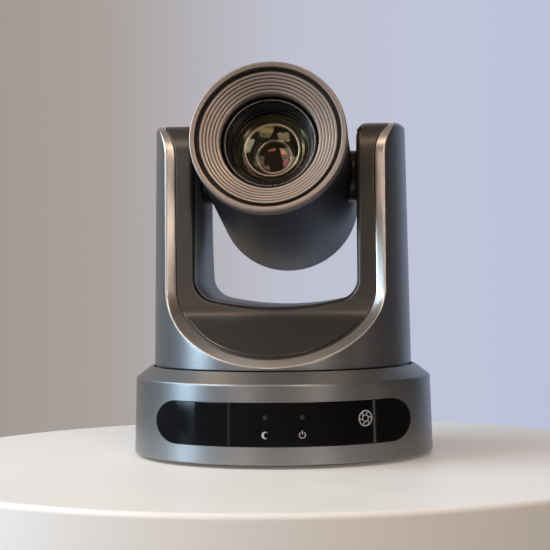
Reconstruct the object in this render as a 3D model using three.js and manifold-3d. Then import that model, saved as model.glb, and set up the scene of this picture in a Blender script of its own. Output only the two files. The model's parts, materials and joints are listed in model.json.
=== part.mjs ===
// A pan-tilt-zoom conference camera: a drum base, a round U-shaped yoke that pans on it and a
// barrel-shaped head that tilts between the yoke's arms. Millimetres, +Z up, the front faces -Y.
// The origin is on the pan axis, in the plane of the table that the rubber feet stand on.
import * as THREE from 'three';
import { mergeVertices } from 'three/addons/utils/BufferGeometryUtils.js';
import Module from 'manifold-3d';

const wasm = await Module();
wasm.setup();

// ---------------------------------------------------------------- driving dimensions
const GAP = 0.3;                 // clearance between neighbouring pieces
const FINE = 48;                 // segments round the large shells
const MEDIUM = 24;               // segments round the working parts
const COARSE = 12;               // segments round screws, pins and rods

const PAN_REST = THREE.MathUtils.degToRad(5.9);    // the yoke is panned this far to its right
const TILT_REST = THREE.MathUtils.degToRad(15.7);  // the lens looks up by this much
const PIVOT_Z = 118.7;           // height of the tilt axis

const BASE_R = 64.25;            // radius of the base at its lower edge
const BASE_BOTTOM = 1.5;
const BASE_TAPER = 0.0317;       // radius lost per millimetre of height
const BASE_SHOULDER = 33.3;      // where the chamfer starts
const BASE_TOP = 38.1;
const RIM_R = 57.0;              // top of the chamfer
const RIM_INNER_R = 55.9;        // inside of the rim, round the yoke
const DECK_Z = 36.8;             // sunk deck under the yoke
const BASE_WALL = 3.0;
const BASE_REAR = 53.75;         // the flat back, where the sockets are

const WINDOW_Z = [9.0, 26.3];
const WINDOW_HALF_ANGLE = THREE.MathUtils.degToRad(55);
const WINDOW_THICK = 1.6;
const LED_X = 7.4;
const LED_Z = 20.6;
const IR_X = -21;
const IR_Z = 17.5;

const YOKE_BOTTOM = 38.6;
const YOKE_TOP = 141.0;
const YOKE_R = 55.3;             // radius at the lower edge
const YOKE_TAPER = 0.0175;
const YOKE_WALL = 2.4;
const COVER_WALL = 2.2;
const ARM_FACE = 27.0;           // front plane of the arms, forward of the pan axis
const BEND_Z = 60.0;             // below this the front face slopes forward
const BELLY = [51.0, 43.0];      // forward distance and height where that slope ends
const BAND_OUTER = [45.4, 31.9]; // half width and drop of the bevelled band's outer line
const BAND_INNER = [41.9, 28.7];
const BAND_CENTRE_Z = 71.4;      // the lines are straight above this height, half ellipses below
const REAR_FACE = 27.0;
const REAR_BEND_Z = 100.0;
const REAR_SWEEP_R = 80.0;       // the rear face sweeps back on this radius
const REAR_OUTER = [45.4, 44.3];
const REAR_INNER = [41.9, 41.0];
const REAR_CENTRE_Z = 84.0;

const MOUTH_HALF = 33.9;         // half the distance between the arms
const MOUTH_FLOOR = 63.4;        // lowest point of the floor between the arms
const MOUTH_ARC_R = 121.0;       // the floor is a shallow arc
const MOUTH_CORNER_R = 9.0;
const LINER_WALL = 2.0;
const TRIM_DEPTH = [22.2, 27.0]; // how far forward the dark edge trim reaches

const BARREL_FRONT = 47.7;       // distances along the lens axis are from the tilt axis
const BARREL_R = [31.8, 31.1];   // radius at the front and at the start of the tail
const BARREL_WALL = 2.2;
const TAIL_SPHERE = 53.6;        // the tail is a cap of this radius round the tilt axis
const BARREL_SEAM = -16.0;       // the rear cap starts here
const HUB_R = 11.1;
const AXLE_R = 5.4;
const UPRIGHT_X = [38.5, 40.0];  // the sheet-metal uprights inside the arms

const SPINDLE_R = 11.0;
const PAN_PULLEY_R = 26.0;
const PAN_PINION_R = 6.0;
const PAN_MOTOR_X = 38.0;
const TILT_PULLEY_R = 15.0;
const TILT_PINION_R = 5.0;
const TILT_MOTOR_Z = 51.5;

// ---------------------------------------------------------------- finishes
const paint = (color, roughness, metalness) =>
  new THREE.MeshStandardMaterial({ color, roughness, metalness });
const GUNMETAL = paint(0x5f646a, 0.38, 0.7);
const BRONZE_GREY = paint(0x4a443e, 0.4, 0.6);
const RING_BRONZE = paint(0x968779, 0.42, 0.6);
const SATIN_BLACK = paint(0x141518, 0.45, 0.1);
const TRIM_BLACK = paint(0x0c0c0d, 0.6, 0.0);
const LINER_GREY = paint(0x6a6b72, 0.5, 0.3);
const GLOSS_BLACK = paint(0x050506, 0.08, 0.0);
const RUBBER = paint(0x181818, 0.9, 0.0);
const STEEL = paint(0x9a9ca0, 0.35, 1.0);
const ALUMINIUM = paint(0xb4b6ba, 0.4, 1.0);
const BRASS = paint(0xb08d48, 0.35, 1.0);
const BOARD_GREEN = paint(0x14482c, 0.5, 0.0);
const MOTOR_BLACK = paint(0x222326, 0.5, 0.3);
const BELT_BLACK = paint(0x101010, 0.8, 0.0);
const WHITE_PLASTIC = paint(0xd8d8d2, 0.5, 0.0);
const LENS_GLASS = paint(0x2b2f2a, 0.03, 0.0);
const LED_GREEN = paint(0x2d7a3a, 0.3, 0.0);
const LED_RED = paint(0x8a2a22, 0.3, 0.0);
const SENSOR_GLASS = paint(0x25203a, 0.1, 0.2);

// ---------------------------------------------------------------- geometry helpers
function signedVolume(positions, indices) {
  let sum = 0;
  const a = new THREE.Vector3();
  const b = new THREE.Vector3();
  const c = new THREE.Vector3();
  for (let i = 0; i < indices.length; i += 3) {
    a.fromArray(positions, 3 * indices[i]);
    b.fromArray(positions, 3 * indices[i + 1]);
    c.fromArray(positions, 3 * indices[i + 2]);
    sum += a.dot(b.cross(c));
  }
  return sum;
}

// Turns a closed three.js geometry into a manifold solid, with its faces pointing out.
function solid(geometry) {
  const bare = geometry.index ? geometry.toNonIndexed() : geometry.clone();
  bare.deleteAttribute('normal');
  bare.deleteAttribute('uv');
  const merged = mergeVertices(bare, 1e-4);
  const positions = merged.attributes.position.array;
  const kept = [];
  const index = merged.index.array;
  for (let i = 0; i < index.length; i += 3) {
    const [a, b, c] = [index[i], index[i + 1], index[i + 2]];
    if (a !== b && b !== c && c !== a) kept.push(a, b, c);
  }
  if (signedVolume(positions, kept) < 0) kept.reverse();
  const mesh = new wasm.Mesh({
    numProp: 3,
    vertProperties: new Float32Array(positions),
    triVerts: new Uint32Array(kept),
  });
  return new wasm.Manifold(mesh);
}

function geometryOf(body) {
  const mesh = body.getMesh();
  const geometry = new THREE.BufferGeometry();
  geometry.setAttribute('position', new THREE.BufferAttribute(new Float32Array(mesh.vertProperties), 3));
  geometry.setIndex(new THREE.BufferAttribute(new Uint32Array(mesh.triVerts), 1));
  geometry.computeVertexNormals();
  return geometry;
}

function piece(name, body, material, parent) {
  const mesh = new THREE.Mesh(geometryOf(body), material);
  mesh.name = name;
  parent.add(mesh);
  return mesh;
}

function block([x0, x1], [y0, y1], [z0, z1]) {
  const geometry = new THREE.BoxGeometry(x1 - x0, y1 - y0, z1 - z0);
  geometry.translate((x0 + x1) / 2, (y0 + y1) / 2, (z0 + z1) / 2);
  return solid(geometry);
}

// Revolves [radius, height] points about Z. The profile starts and ends on the axis or is closed.
function revolve(profile, segments = MEDIUM) {
  const points = profile.map(([r, z]) => new THREE.Vector2(r, z));
  return solid(new THREE.LatheGeometry(points, segments).rotateX(Math.PI / 2));
}

function revolveRing(profile, segments = MEDIUM) {
  return revolve([...profile, profile[0]], segments);
}

function rod(radius, z0, z1, segments = COARSE) {
  return revolve([[0, z0], [radius, z0], [radius, z1], [0, z1]], segments);
}

function tube(inner, outer, z0, z1, segments = MEDIUM) {
  return revolveRing([[inner, z0], [outer, z0], [outer, z1], [inner, z1]], segments);
}

// Extrudes a closed outline of [x, z] points along Y, from y0 to y1.
function extrudeY(outline, y0, y1) {
  const shape = new THREE.Shape(outline.map(([x, z]) => new THREE.Vector2(x, z)));
  const geometry = new THREE.ExtrudeGeometry(shape, { depth: y1 - y0, bevelEnabled: false });
  return solid(geometry.rotateX(Math.PI / 2).translate(0, y1, 0));
}

// Extrudes a closed outline of [forward, z] points along X, both ways from the middle.
function extrudeX(outline, half) {
  const shape = new THREE.Shape(outline.map(([forward, z]) => new THREE.Vector2(forward, z)));
  const geometry = new THREE.ExtrudeGeometry(shape, { depth: 2 * half, bevelEnabled: false });
  const basis = new THREE.Matrix4().makeBasis(
    new THREE.Vector3(0, -1, 0), new THREE.Vector3(0, 0, 1), new THREE.Vector3(-1, 0, 0));
  return solid(geometry.applyMatrix4(basis).translate(half, 0, 0));
}

// Extrudes a closed outline of [x, y] points along Z.
function extrudeZ(outline, z0, z1) {
  const shape = new THREE.Shape(outline.map(([x, y]) => new THREE.Vector2(x, y)));
  return solid(new THREE.ExtrudeGeometry(shape, { depth: z1 - z0, bevelEnabled: false }).translate(0, 0, z0));
}

function moved(body, x, y, z) {
  return body.translate([x, y, z]);
}

// Solids made about Z, turned to lie along X or to point forward along -Y.
const alongX = (body) => body.rotate([0, 90, 0]);
const alongForward = (body) => body.rotate([90, 0, 0]);

function union(bodies) {
  return bodies.reduce((sum, body) => sum.add(body));
}

function arcPoints(cx, cy, radius, from, to, count) {
  const points = [];
  for (let i = 0; i <= count; i += 1) {
    const angle = from + (to - from) * i / count;
    points.push([cx + radius * Math.cos(angle), cy + radius * Math.sin(angle)]);
  }
  return points;
}

// ---------------------------------------------------------------- base outline
const baseRadius = (z) => BASE_R - (z - BASE_BOTTOM) * BASE_TAPER;

function baseOuter() {
  const turned = revolve([
    [0, BASE_BOTTOM], [BASE_R - 0.4, BASE_BOTTOM], [BASE_R, BASE_BOTTOM + 0.4],
    [baseRadius(BASE_SHOULDER - 0.5), BASE_SHOULDER - 0.5], [baseRadius(BASE_SHOULDER) - 0.35, BASE_SHOULDER + 0.15],
    [RIM_R, BASE_TOP], [RIM_INNER_R, BASE_TOP], [RIM_INNER_R, DECK_Z], [0, DECK_Z],
  ], 72);
  return turned.intersect(block([-80, 80], [-80, BASE_REAR], [0, 60]));
}

function baseCavity() {
  const ceiling = DECK_Z - 2.2;
  const turned = revolve([
    [0, 0], [BASE_R - BASE_WALL, 0], [baseRadius(31) - BASE_WALL, 31],
    [RIM_R - 3.5, ceiling], [0, ceiling],
  ], 40);
  return turned.intersect(block([-80, 80], [-80, BASE_REAR - 2.4], [-1, 60]));
}

// A strip with round ends, wrapped on the base: it runs from radius r - depth to r + proud.
function wrappedStrip(grow, proud, depth, columns) {
  const halfHeight = (WINDOW_Z[1] - WINDOW_Z[0]) / 2 + grow;
  const middle = (WINDOW_Z[0] + WINDOW_Z[1]) / 2;
  const reach = WINDOW_HALF_ANGLE + grow / BASE_R;
  const roundAngle = halfHeight / BASE_R;
  const angles = [];
  const heights = [];
  const steps = 7;
  for (let i = 0; i <= steps; i += 1) {
    const turn = THREE.MathUtils.lerp(12, 90, i / steps) * Math.PI / 180;
    angles.push(-reach + roundAngle * (1 - Math.cos(turn)));
    heights.push(halfHeight * Math.sin(turn));
  }
  const straight = 2 * (reach - roundAngle);
  for (let i = 1; i < columns; i += 1) {
    angles.push(-reach + roundAngle + straight * i / columns);
    heights.push(halfHeight);
  }
  for (let i = steps; i >= 0; i -= 1) {
    angles.push(-angles[i]);
    heights.push(heights[i]);
  }
  const corners = [[1, -1], [1, 1], [-1, 1], [-1, -1]];
  const positions = [];
  angles.forEach((angle, i) => corners.forEach(([side, up]) => {
    const z = middle + up * heights[i];
    const radius = baseRadius(z) + (side > 0 ? proud : -depth);
    positions.push(radius * Math.sin(angle), -radius * Math.cos(angle), z);
  }));
  const triangles = [];
  for (let i = 0; i + 1 < angles.length; i += 1) {
    for (let k = 0; k < 4; k += 1) {
      const [a, b] = [4 * i + k, 4 * i + (k + 1) % 4];
      triangles.push(a, b, b + 4, a, b + 4, a + 4);
    }
  }
  const last = 4 * (angles.length - 1);
  triangles.push(0, 3, 2, 0, 2, 1, last, last + 1, last + 2, last, last + 2, last + 3);
  const geometry = new THREE.BufferGeometry();
  geometry.setAttribute('position', new THREE.BufferAttribute(new Float32Array(positions), 3));
  geometry.setIndex(triangles);
  return solid(geometry);
}

// ---------------------------------------------------------------- base pieces
const PANEL_X = 29.7;
const PANEL_Z = [4.8, 32.2];
const PANEL_FACE = BASE_REAR - 0.3;
const PANEL_BACK = BASE_REAR - 2.1;
const LOWER_ROW = 11.8;
const UPPER_ROW = 25.0;
const SOCKET_FACE = PANEL_FACE - 0.2;

function buildBaseShell(base) {
  const opening = block([-PANEL_X - GAP, PANEL_X + GAP], [40, 80], [PANEL_Z[0] - GAP, PANEL_Z[1] + GAP]);
  const holes = [
    baseCavity(),
    opening,
    rod(28.0, DECK_Z - 5, DECK_Z + 5, FINE),
    wrappedStrip(GAP, 3, WINDOW_THICK + GAP, 24),
    ...[-LED_X, LED_X].map((x) => moved(alongForward(rod(1.7, 50, 70)), x, 0, LED_Z)),
    moved(alongForward(rod(3.4, 50, 70)), IR_X, 0, IR_Z),
  ];
  piece('base_shell', baseOuter().subtract(union(holes)), GUNMETAL, base);
  piece('status_window', wrappedStrip(0, 0, WINDOW_THICK, 24), GLOSS_BLACK, base);
}

const PLATE_Z = [0.9, 3.1];
const FOOT_AT = [[34, -34], [-34, -34], [34, 34], [-34, 34]];
const LEG_AT = [[42.1, -35.4], [-42.1, -35.4], [51.7, 18.8], [-51.7, 18.8]];
const INSERT_Y = -24;

function buildBasePlate(base) {
  const footR = 6.5;
  const disc = rod(BASE_R - BASE_WALL - GAP, PLATE_Z[0], PLATE_Z[1], FINE)
    .intersect(block([-80, 80], [-80, BASE_REAR - 2.4 - GAP], [0, 10]));
  const cuts = [moved(rod(5.0 + GAP, -1, 10, MEDIUM), 0, INSERT_Y, 0)];
  FOOT_AT.forEach(([x, y]) => cuts.push(moved(rod(footR + GAP, -1, 2.0, 20), x, y, 0)));
  LEG_AT.forEach(([x, y]) => {
    cuts.push(moved(rod(1.7, -1, 10, 8), x, y, 0));
    cuts.push(moved(rod(3.0, -1, 2.3, 10), x, y, 0));
  });
  piece('base_plate', disc.subtract(union(cuts)), MOTOR_BLACK, base);
  FOOT_AT.forEach(([x, y], i) => {
    const foot = revolve([[0, 0], [footR - 0.5, 0], [footR, 0.5], [footR, 1.7], [0, 1.7]], 20);
    piece(`rubber_foot_${i + 1}`, moved(foot, x, y, 0), RUBBER, base);
  });
  piece('tripod_insert', moved(tube(3.1, 5.0, PLATE_Z[0], 9.0, 24), 0, INSERT_Y, 0), BRASS, base);
}

function buildChassis(base) {
  const slab = rod(57.5, 22, 24, FINE).intersect(block([-80, 80], [-48.5, 33.5], [0, 60]));
  const legs = LEG_AT.map(([x, y]) => moved(rod(3.0, 3.4, 23, 10), x, y, 0));
  const collar = tube(17.0 + GAP, 20, 20, 26);
  const cuts = [
    rod(17.0 + GAP, 10, 40, MEDIUM),
    moved(rod(3.0, 10, 40), PAN_MOTOR_X, 0, 0),
    ...LEG_AT.map(([x, y]) => moved(rod(1.6, 0, 12, 8), x, y, 0)),
  ];
  piece('base_chassis', union([slab, ...legs, collar]).subtract(union(cuts)), ALUMINIUM, base);
  piece('pan_bearing', tube(SPINDLE_R + GAP, 17, 20.5, 25.5), STEEL, base);
  piece('pan_motor', moved(rod(14, 8, 21.7, MEDIUM), PAN_MOTOR_X, 0, 0), MOTOR_BLACK, base);
}

function buildMainBoard(base) {
  const board = rod(50, 3.7, 5.2, FINE)
    .intersect(block([-80, 80], [-80, BASE_REAR - 3.4], [0, 10]))
    .subtract(moved(rod(6, 0, 10), 0, INSERT_Y, 0))
    .subtract(rod(9, 0, 10));
  piece('main_board', board, BOARD_GREEN, base);
}

function buildFrontElectronics(base) {
  const boardY = [-52.4, -50.8];
  piece('led_board', block([-27.5, 27.5], boardY, [8, 26]), BOARD_GREEN, base);
  const pipe = (x) => moved(alongForward(rod(1.4, 52.7, 60.6, 12)), x, 0, LED_Z);
  piece('standby_light', pipe(-LED_X), LED_RED, base);
  piece('power_light', pipe(LED_X), LED_GREEN, base);
  const dome = revolve([[0, 52.7], [3.0, 52.7], [3.0, 55.4], [2.1, 56.9], [0, 57.5]], COARSE);
  piece('ir_receiver', moved(alongForward(dome), IR_X, 0, IR_Z), SATIN_BLACK, base);
}

// The sockets on the back. Each one is a box or a barrel with its own mouth, facing +Y.
const BOX_SOCKETS = {
  lan_socket: { x: 1.5, z: LOWER_ROW, outer: [15.6, 12.4], mouth: [11.8, 8.4], depth: 11, tongue: null },
  usb_socket: { x: 18.0, z: LOWER_ROW, outer: [10.4, 11.6], mouth: [8.4, 9.6], depth: 9, tongue: [5.4, 3.4] },
  hdmi_socket: { x: 9.5, z: UPPER_ROW, outer: [15.6, 6.6], mouth: [13.8, 4.8], depth: 9, tongue: [10.0, 1.4] },
};
const ROUND_SOCKETS = {
  dc_socket: { x: -11.5, z: LOWER_ROW, outer: 4.6, mouth: 3.2, pin: 1.0 },
  serial_in_socket: { x: -22.5, z: UPPER_ROW, outer: 5.9, mouth: 4.6, pin: 3.4 },
  serial_out_socket: { x: -8.0, z: UPPER_ROW, outer: 5.9, mouth: 4.6, pin: 3.4 },
  audio_socket: { x: 24.0, z: UPPER_ROW, outer: 3.6, mouth: 1.8, pin: 0 },
};
const SWITCH = { x: -22.5, outer: [8.8, 11.8], mouth: [6.8, 9.8] };

function centredBlock(x, z, [width, height], y0, y1) {
  return block([x - width / 2, x + width / 2], [y0, y1], [z - height / 2, z + height / 2]);
}

function buildRearPanel(base) {
  const cuts = [];
  for (const { x, z, outer } of Object.values(BOX_SOCKETS)) {
    cuts.push(centredBlock(x, z, outer.map((size) => size + 2 * GAP), 40, 60));
  }
  for (const { x, z, outer } of Object.values(ROUND_SOCKETS)) {
    cuts.push(moved(alongForward(rod(outer + GAP, -60, -40, 18)), x, 0, z));
  }
  cuts.push(centredBlock(SWITCH.x, LOWER_ROW, SWITCH.outer.map((size) => size + 2 * GAP), 40, 60));
  const plate = block([-PANEL_X, PANEL_X], [PANEL_BACK, PANEL_FACE], PANEL_Z);
  piece('rear_panel', plate.subtract(union(cuts)), SATIN_BLACK, base);

  for (const [name, { x, z, outer, mouth, depth, tongue }] of Object.entries(BOX_SOCKETS)) {
    let body = centredBlock(x, z, outer, SOCKET_FACE - depth - 3, SOCKET_FACE)
      .subtract(centredBlock(x, z, mouth, SOCKET_FACE - depth, 60));
    if (tongue) body = body.add(centredBlock(x, z, tongue, SOCKET_FACE - depth - 1, SOCKET_FACE - 1));
    piece(name, body, STEEL, base);
  }
  for (const [name, { x, z, outer, mouth, pin }] of Object.entries(ROUND_SOCKETS)) {
    const face = -SOCKET_FACE;
    const floor = face + 9;
    const profile = [[0, face + 12], [outer, face + 12], [outer, face], [mouth, face], [mouth, floor]];
    if (pin) profile.push([pin, floor], [pin, face + 1.0], [0, face + 1.0]);
    else profile.push([0, floor]);
    piece(name, moved(alongForward(revolve(profile, 18)), x, 0, z), SATIN_BLACK, base);
  }
  const frame = centredBlock(SWITCH.x, LOWER_ROW, SWITCH.outer, SOCKET_FACE - 10, SOCKET_FACE)
    .subtract(centredBlock(SWITCH.x, LOWER_ROW, SWITCH.mouth, SOCKET_FACE - 8, 60));
  piece('switch_frame', frame, SATIN_BLACK, base);
}

// The rocker pivots about an X axis in the middle of its frame. Its upper half is pressed in.
const ROCKER_Y = SOCKET_FACE - 3.4;
const ROCKER_TILT = THREE.MathUtils.degToRad(9);

function buildRocker(base) {
  const pivot = new THREE.Group();
  pivot.position.set(SWITCH.x, ROCKER_Y, LOWER_ROW);
  pivot.rotation.x = ROCKER_TILT;
  const outline = [[-2.9, -4.2], [-2.3, 0], [-2.9, 4.2], [0.4, 4.0], [2.2, 0], [0.4, -4.0]];
  piece('power_switch', extrudeX(outline, 3.1), SATIN_BLACK, pivot);
  base.add(pivot);
}

function beltLoop(x1, r1, x2, r2, thick, z0, z1) {
  const loop = (grow) => {
    const lean = Math.asin((r1 - r2) / (x2 - x1));
    const side = Math.PI / 2 - lean;
    return [
      ...arcPoints(x1, 0, r1 + grow, side, 2 * Math.PI - side, 28),
      ...arcPoints(x2, 0, r2 + grow, -side, side, 12),
    ];
  };
  return extrudeZ(loop(GAP + thick), z0, z1).subtract(extrudeZ(loop(GAP), z0 - 1, z1 + 1));
}

// A belt pulley with a flange at each end of its belt track.
function pulley(bore, radius, z0, z1, segments) {
  const lip = 0.5;
  const flange = radius + 1.2;
  const profile = [
    [bore, z0], [flange, z0], [flange, z0 + lip], [radius, z0 + lip],
    [radius, z1 - lip], [flange, z1 - lip], [flange, z1], [bore, z1],
  ];
  return bore > 0 ? revolveRing(profile, segments) : revolve(profile, segments);
}

function buildPanDrive(base, yoke) {
  piece('pan_belt', beltLoop(0, PAN_PULLEY_R, PAN_MOTOR_X, PAN_PINION_R, 1.0, 28.5, 32.5), BELT_BLACK, base);
  const pinion = pulley(0, PAN_PINION_R, 27.6, 33.4, MEDIUM).add(rod(2.2, 22.1, 28, COARSE));
  piece('pan_pinion', moved(pinion, PAN_MOTOR_X, 0, 0), BRASS, base);
  piece('pan_pulley', pulley(SPINDLE_R + GAP, PAN_PULLEY_R, 27.6, 33.4, 40), ALUMINIUM, yoke);
  const spindle = revolveRing([[8, 15], [SPINDLE_R, 15], [SPINDLE_R, 38.9], [30, 38.9], [30, 40.9], [8, 40.9]], 36);
  piece('pan_spindle', spindle, STEEL, yoke);
}

// ---------------------------------------------------------------- yoke outlines
const yokeRadius = (z) => YOKE_R - (z - YOKE_BOTTOM) * YOKE_TAPER;

function yokeTurned(inset, z0, z1, round) {
  return revolve([
    [0, z0], [yokeRadius(z0) - inset, z0], [yokeRadius(z1) - inset, z1 - round],
    [yokeRadius(z1) - inset - round * 0.3, z1 - round * 0.3], [yokeRadius(z1) - inset - round, z1], [0, z1],
  ], 64);
}

// How far forward the front face is at a height: plane on the arms, sloping below the bend.
function frontFace(z) {
  const slope = (BELLY[0] - ARM_FACE) / (BEND_Z - BELLY[1]);
  return ARM_FACE + Math.max(0, BEND_Z - z) * slope;
}

function rearFace(z) {
  const below = Math.max(0, REAR_BEND_Z - z);
  return REAR_FACE + REAR_SWEEP_R - Math.sqrt(REAR_SWEEP_R ** 2 - below ** 2);
}

// The side view between the front and rear faces, drawn in by a wall thickness.
function sideView(inset) {
  const cos = Math.cos(Math.atan2(BELLY[0] - ARM_FACE, BEND_Z - BELLY[1]));
  const slopeInset = inset / cos;
  const low = 30;
  const outline = [[frontFace(low) - slopeInset, low]];
  const bend = BEND_Z - (slopeInset - inset) * (BEND_Z - BELLY[1]) / (BELLY[0] - ARM_FACE);
  for (const [turn, out] of [[-2.5, 1.0], [0, 0.5], [2.5, 0]]) {
    const z = bend + turn;
    outline.push([Math.max(ARM_FACE - inset, frontFace(z) - (turn < 0 ? slopeInset : inset)) + out * 0.4, z]);
  }
  outline.push([ARM_FACE - inset, YOKE_TOP - 3 - inset], [ARM_FACE - inset - 2.4, YOKE_TOP + 2 - inset]);
  outline.push([-REAR_FACE + inset, YOKE_TOP + 2 - inset]);
  for (let z = REAR_BEND_Z; z > 43; z -= 7) outline.push([-rearFace(z) + inset * (1 + (REAR_BEND_Z - z) / 90), z]);
  outline.push([-62 + inset, 40], [-62 + inset, low]);
  return extrudeX(outline, 70);
}

// The space between the arms, seen from the front.
function mouthOutline(grow, floor, top) {
  const half = MOUTH_HALF + grow;
  const corner = MOUTH_CORNER_R + grow;
  const arc = MOUTH_ARC_R + grow;
  const cornerX = half - corner;
  const centreZ = floor - grow + arc;
  const cornerZ = centreZ - Math.sqrt((arc - corner) ** 2 - cornerX ** 2);
  const lean = Math.asin(cornerX / (arc - corner));
  return [
    [half, top],
    ...arcPoints(cornerX, cornerZ, corner, 0, -Math.PI / 2 + lean, 8),
    ...arcPoints(0, centreZ, arc, -Math.PI / 2 + lean * 0.75, -Math.PI / 2 - lean * 0.75, 6),
    ...arcPoints(-cornerX, cornerZ, corner, -Math.PI / 2 - lean, -Math.PI, 8),
    [-half, top],
  ];
}

// A line that is straight down the arms and a half ellipse across the drum: [x, z] points.
function bandLine([half, drop], centreZ, top, count) {
  const points = [[-half, top]];
  for (let i = 0; i <= count; i += 1) {
    const angle = Math.PI + Math.PI * i / count;
    points.push([half * Math.cos(angle), centreZ + drop * Math.sin(angle)]);
  }
  points.push([half, top]);
  return points;
}

// A closed solid lofted through loops of equal length; the first and last loops are flat caps.
function loft(loops) {
  const count = loops[0].length;
  const positions = loops.flat(2);
  const triangles = [];
  for (let level = 0; level + 1 < loops.length; level += 1) {
    for (let i = 0; i < count; i += 1) {
      const a = level * count + i;
      const b = level * count + (i + 1) % count;
      triangles.push(a, b, b + count, a, b + count, a + count);
    }
  }
  const last = (loops.length - 1) * count;
  for (let i = 1; i + 1 < count; i += 1) {
    triangles.push(0, i + 1, i, last, last + i, last + i + 1);
  }
  const geometry = new THREE.BufferGeometry();
  geometry.setAttribute('position', new THREE.BufferAttribute(new Float32Array(positions), 3));
  geometry.setIndex(triangles);
  return solid(geometry);
}

// Cuts a bevelled band and the opening for a cover out of the yoke's shell. side is -1 at the
// front and +1 at the rear, face(z) is how far out the cover's surface lies, and the opening
// reaches in to the distance inside.
function bandCutter(side, outerSize, innerSize, centreZ, face, inside) {
  const steps = 36;
  const top = YOKE_TOP + 5;
  const onShell = bandLine(outerSize, centreZ, top, steps)
    .map(([x, z]) => [x, side * Math.sqrt(yokeRadius(z) ** 2 - x ** 2), z]);
  const onFace = bandLine(innerSize, centreZ, top, steps).map(([x, z]) => [x, side * face(z), z]);
  const reach = 0.8;
  const flared = onShell.map((point, i) => point.map((value, k) => value + reach * (value - onFace[i][k])));
  const outside = flared.map(([x, , z]) => [x, side * 75, z]);
  const innermost = onFace.map(([x, , z]) => [x, side * inside, z]);
  return loft([outside, flared, onFace, innermost]);
}

// ---------------------------------------------------------------- yoke pieces
function buildYokeShell(yoke) {
  const outer = yokeTurned(0, YOKE_BOTTOM, YOKE_TOP, 1.8);
  const inner = yokeTurned(YOKE_WALL, YOKE_BOTTOM - 5, YOKE_TOP - YOKE_WALL, 1).intersect(sideView(COVER_WALL));
  const mouth = extrudeY(mouthOutline(LINER_WALL + GAP, MOUTH_FLOOR, YOKE_TOP + 9), -80, 80);
  const frontBand = bandCutter(-1, BAND_OUTER, BAND_INNER, BAND_CENTRE_Z, frontFace, ARM_FACE - 5.0);
  const rearBand = bandCutter(1, REAR_OUTER, REAR_INNER, REAR_CENTRE_Z, rearFace, REAR_FACE - 2.8);
  const shell = outer.subtract(inner).subtract(mouth).subtract(frontBand).subtract(rearBand);
  piece('yoke_shell', shell, GUNMETAL, yoke);
}

function buildYokeCovers(yoke) {
  const rim = YOKE_TOP - 0.6;
  const plate = sideView(0).subtract(sideView(COVER_WALL)).intersect(yokeTurned(0.4, YOKE_BOTTOM, rim, 1.8));
  const outline = ([half, drop], centreZ) => bandLine([half - GAP, drop - GAP], centreZ, rim, 36);

  const frontOutline = extrudeY(outline(BAND_INNER, BAND_CENTRE_Z), -80, -20);
  const frontMouth = extrudeY(mouthOutline(0.4, MOUTH_FLOOR - 1.3, YOKE_TOP + 9), -80, 0);
  const trimSeat = extrudeY(mouthOutline(1.9 + GAP, MOUTH_FLOOR - 0.9, YOKE_TOP + 9), -TRIM_DEPTH[1] + 0.5, 0);
  const front = plate.intersect(frontOutline).subtract(frontMouth).subtract(trimSeat);
  piece('yoke_front_cover', front, BRONZE_GREY, yoke);

  const rearOutline = extrudeY(outline(REAR_INNER, REAR_CENTRE_Z), 20, 80);
  const rearMouth = extrudeY(mouthOutline(LINER_WALL + GAP, MOUTH_FLOOR, YOKE_TOP + 9), 0, 80);
  piece('yoke_rear_cover', plate.intersect(rearOutline).subtract(rearMouth), GUNMETAL, yoke);
}

// The grey lining of the mouth and the narrow dark trim in front of it.
function buildMouthLining(yoke) {
  const rim = YOKE_TOP - 0.8;
  const skin = (grow, thick, floor, y0, y1, top) => extrudeY(mouthOutline(grow + thick, floor, top), y0, y1)
    .subtract(extrudeY(mouthOutline(grow, floor, top + 9), y0 - 5, y1 + 5));
  const hub = alongX(rod(AXLE_R + 0.6, -80, 80, 24)).translate([0, 0, PIVOT_Z]);
  const envelope = sideView(0.2).intersect(yokeTurned(0.3, YOKE_BOTTOM, rim, 1.8));
  const liner = skin(0, LINER_WALL, MOUTH_FLOOR, -TRIM_DEPTH[0] + GAP, 60, rim).intersect(envelope).subtract(hub);
  piece('yoke_mouth_liner', liner, LINER_GREY, yoke);
  const trim = skin(0.2, 1.7, MOUTH_FLOOR - 0.7, -TRIM_DEPTH[1] + 0.8, -TRIM_DEPTH[0], rim);
  piece('yoke_mouth_trim', trim.intersect(envelope), TRIM_BLACK, yoke);
}

function buildYokeFrame(yoke) {
  const floor = rod(46, 41.2, 42.8, 48).intersect(block([-80, 80], [-38, 38], [0, 60]));
  const uprights = [-1, 1].map((side) => {
    const xs = [side * UPRIGHT_X[0], side * UPRIGHT_X[1]].sort((a, b) => a - b);
    return block(xs, [-13, 13], [41.2, 131]);
  });
  const cuts = [
    rod(8.5, 30, 50, MEDIUM),
    alongX(rod(9.0 + GAP, -60, 60, MEDIUM)).translate([0, 0, PIVOT_Z]),
    alongX(rod(3.0, -60, 0, COARSE)).translate([0, 0, TILT_MOTOR_Z]),
  ];
  piece('yoke_frame', union([floor, ...uprights]).subtract(union(cuts)), ALUMINIUM, yoke);
  const bearing = tube(AXLE_R + GAP, 9.0, 37.3, 41.3);
  piece('tilt_bearing_left', alongX(bearing).mirror([1, 0, 0]).translate([0, 0, PIVOT_Z]), STEEL, yoke);
  piece('tilt_bearing_right', alongX(bearing).translate([0, 0, PIVOT_Z]), STEEL, yoke);
  piece('driver_board', block([-6, 34], [-24, 24], [45.5, 47.0]), BOARD_GREEN, yoke);
}

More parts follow.
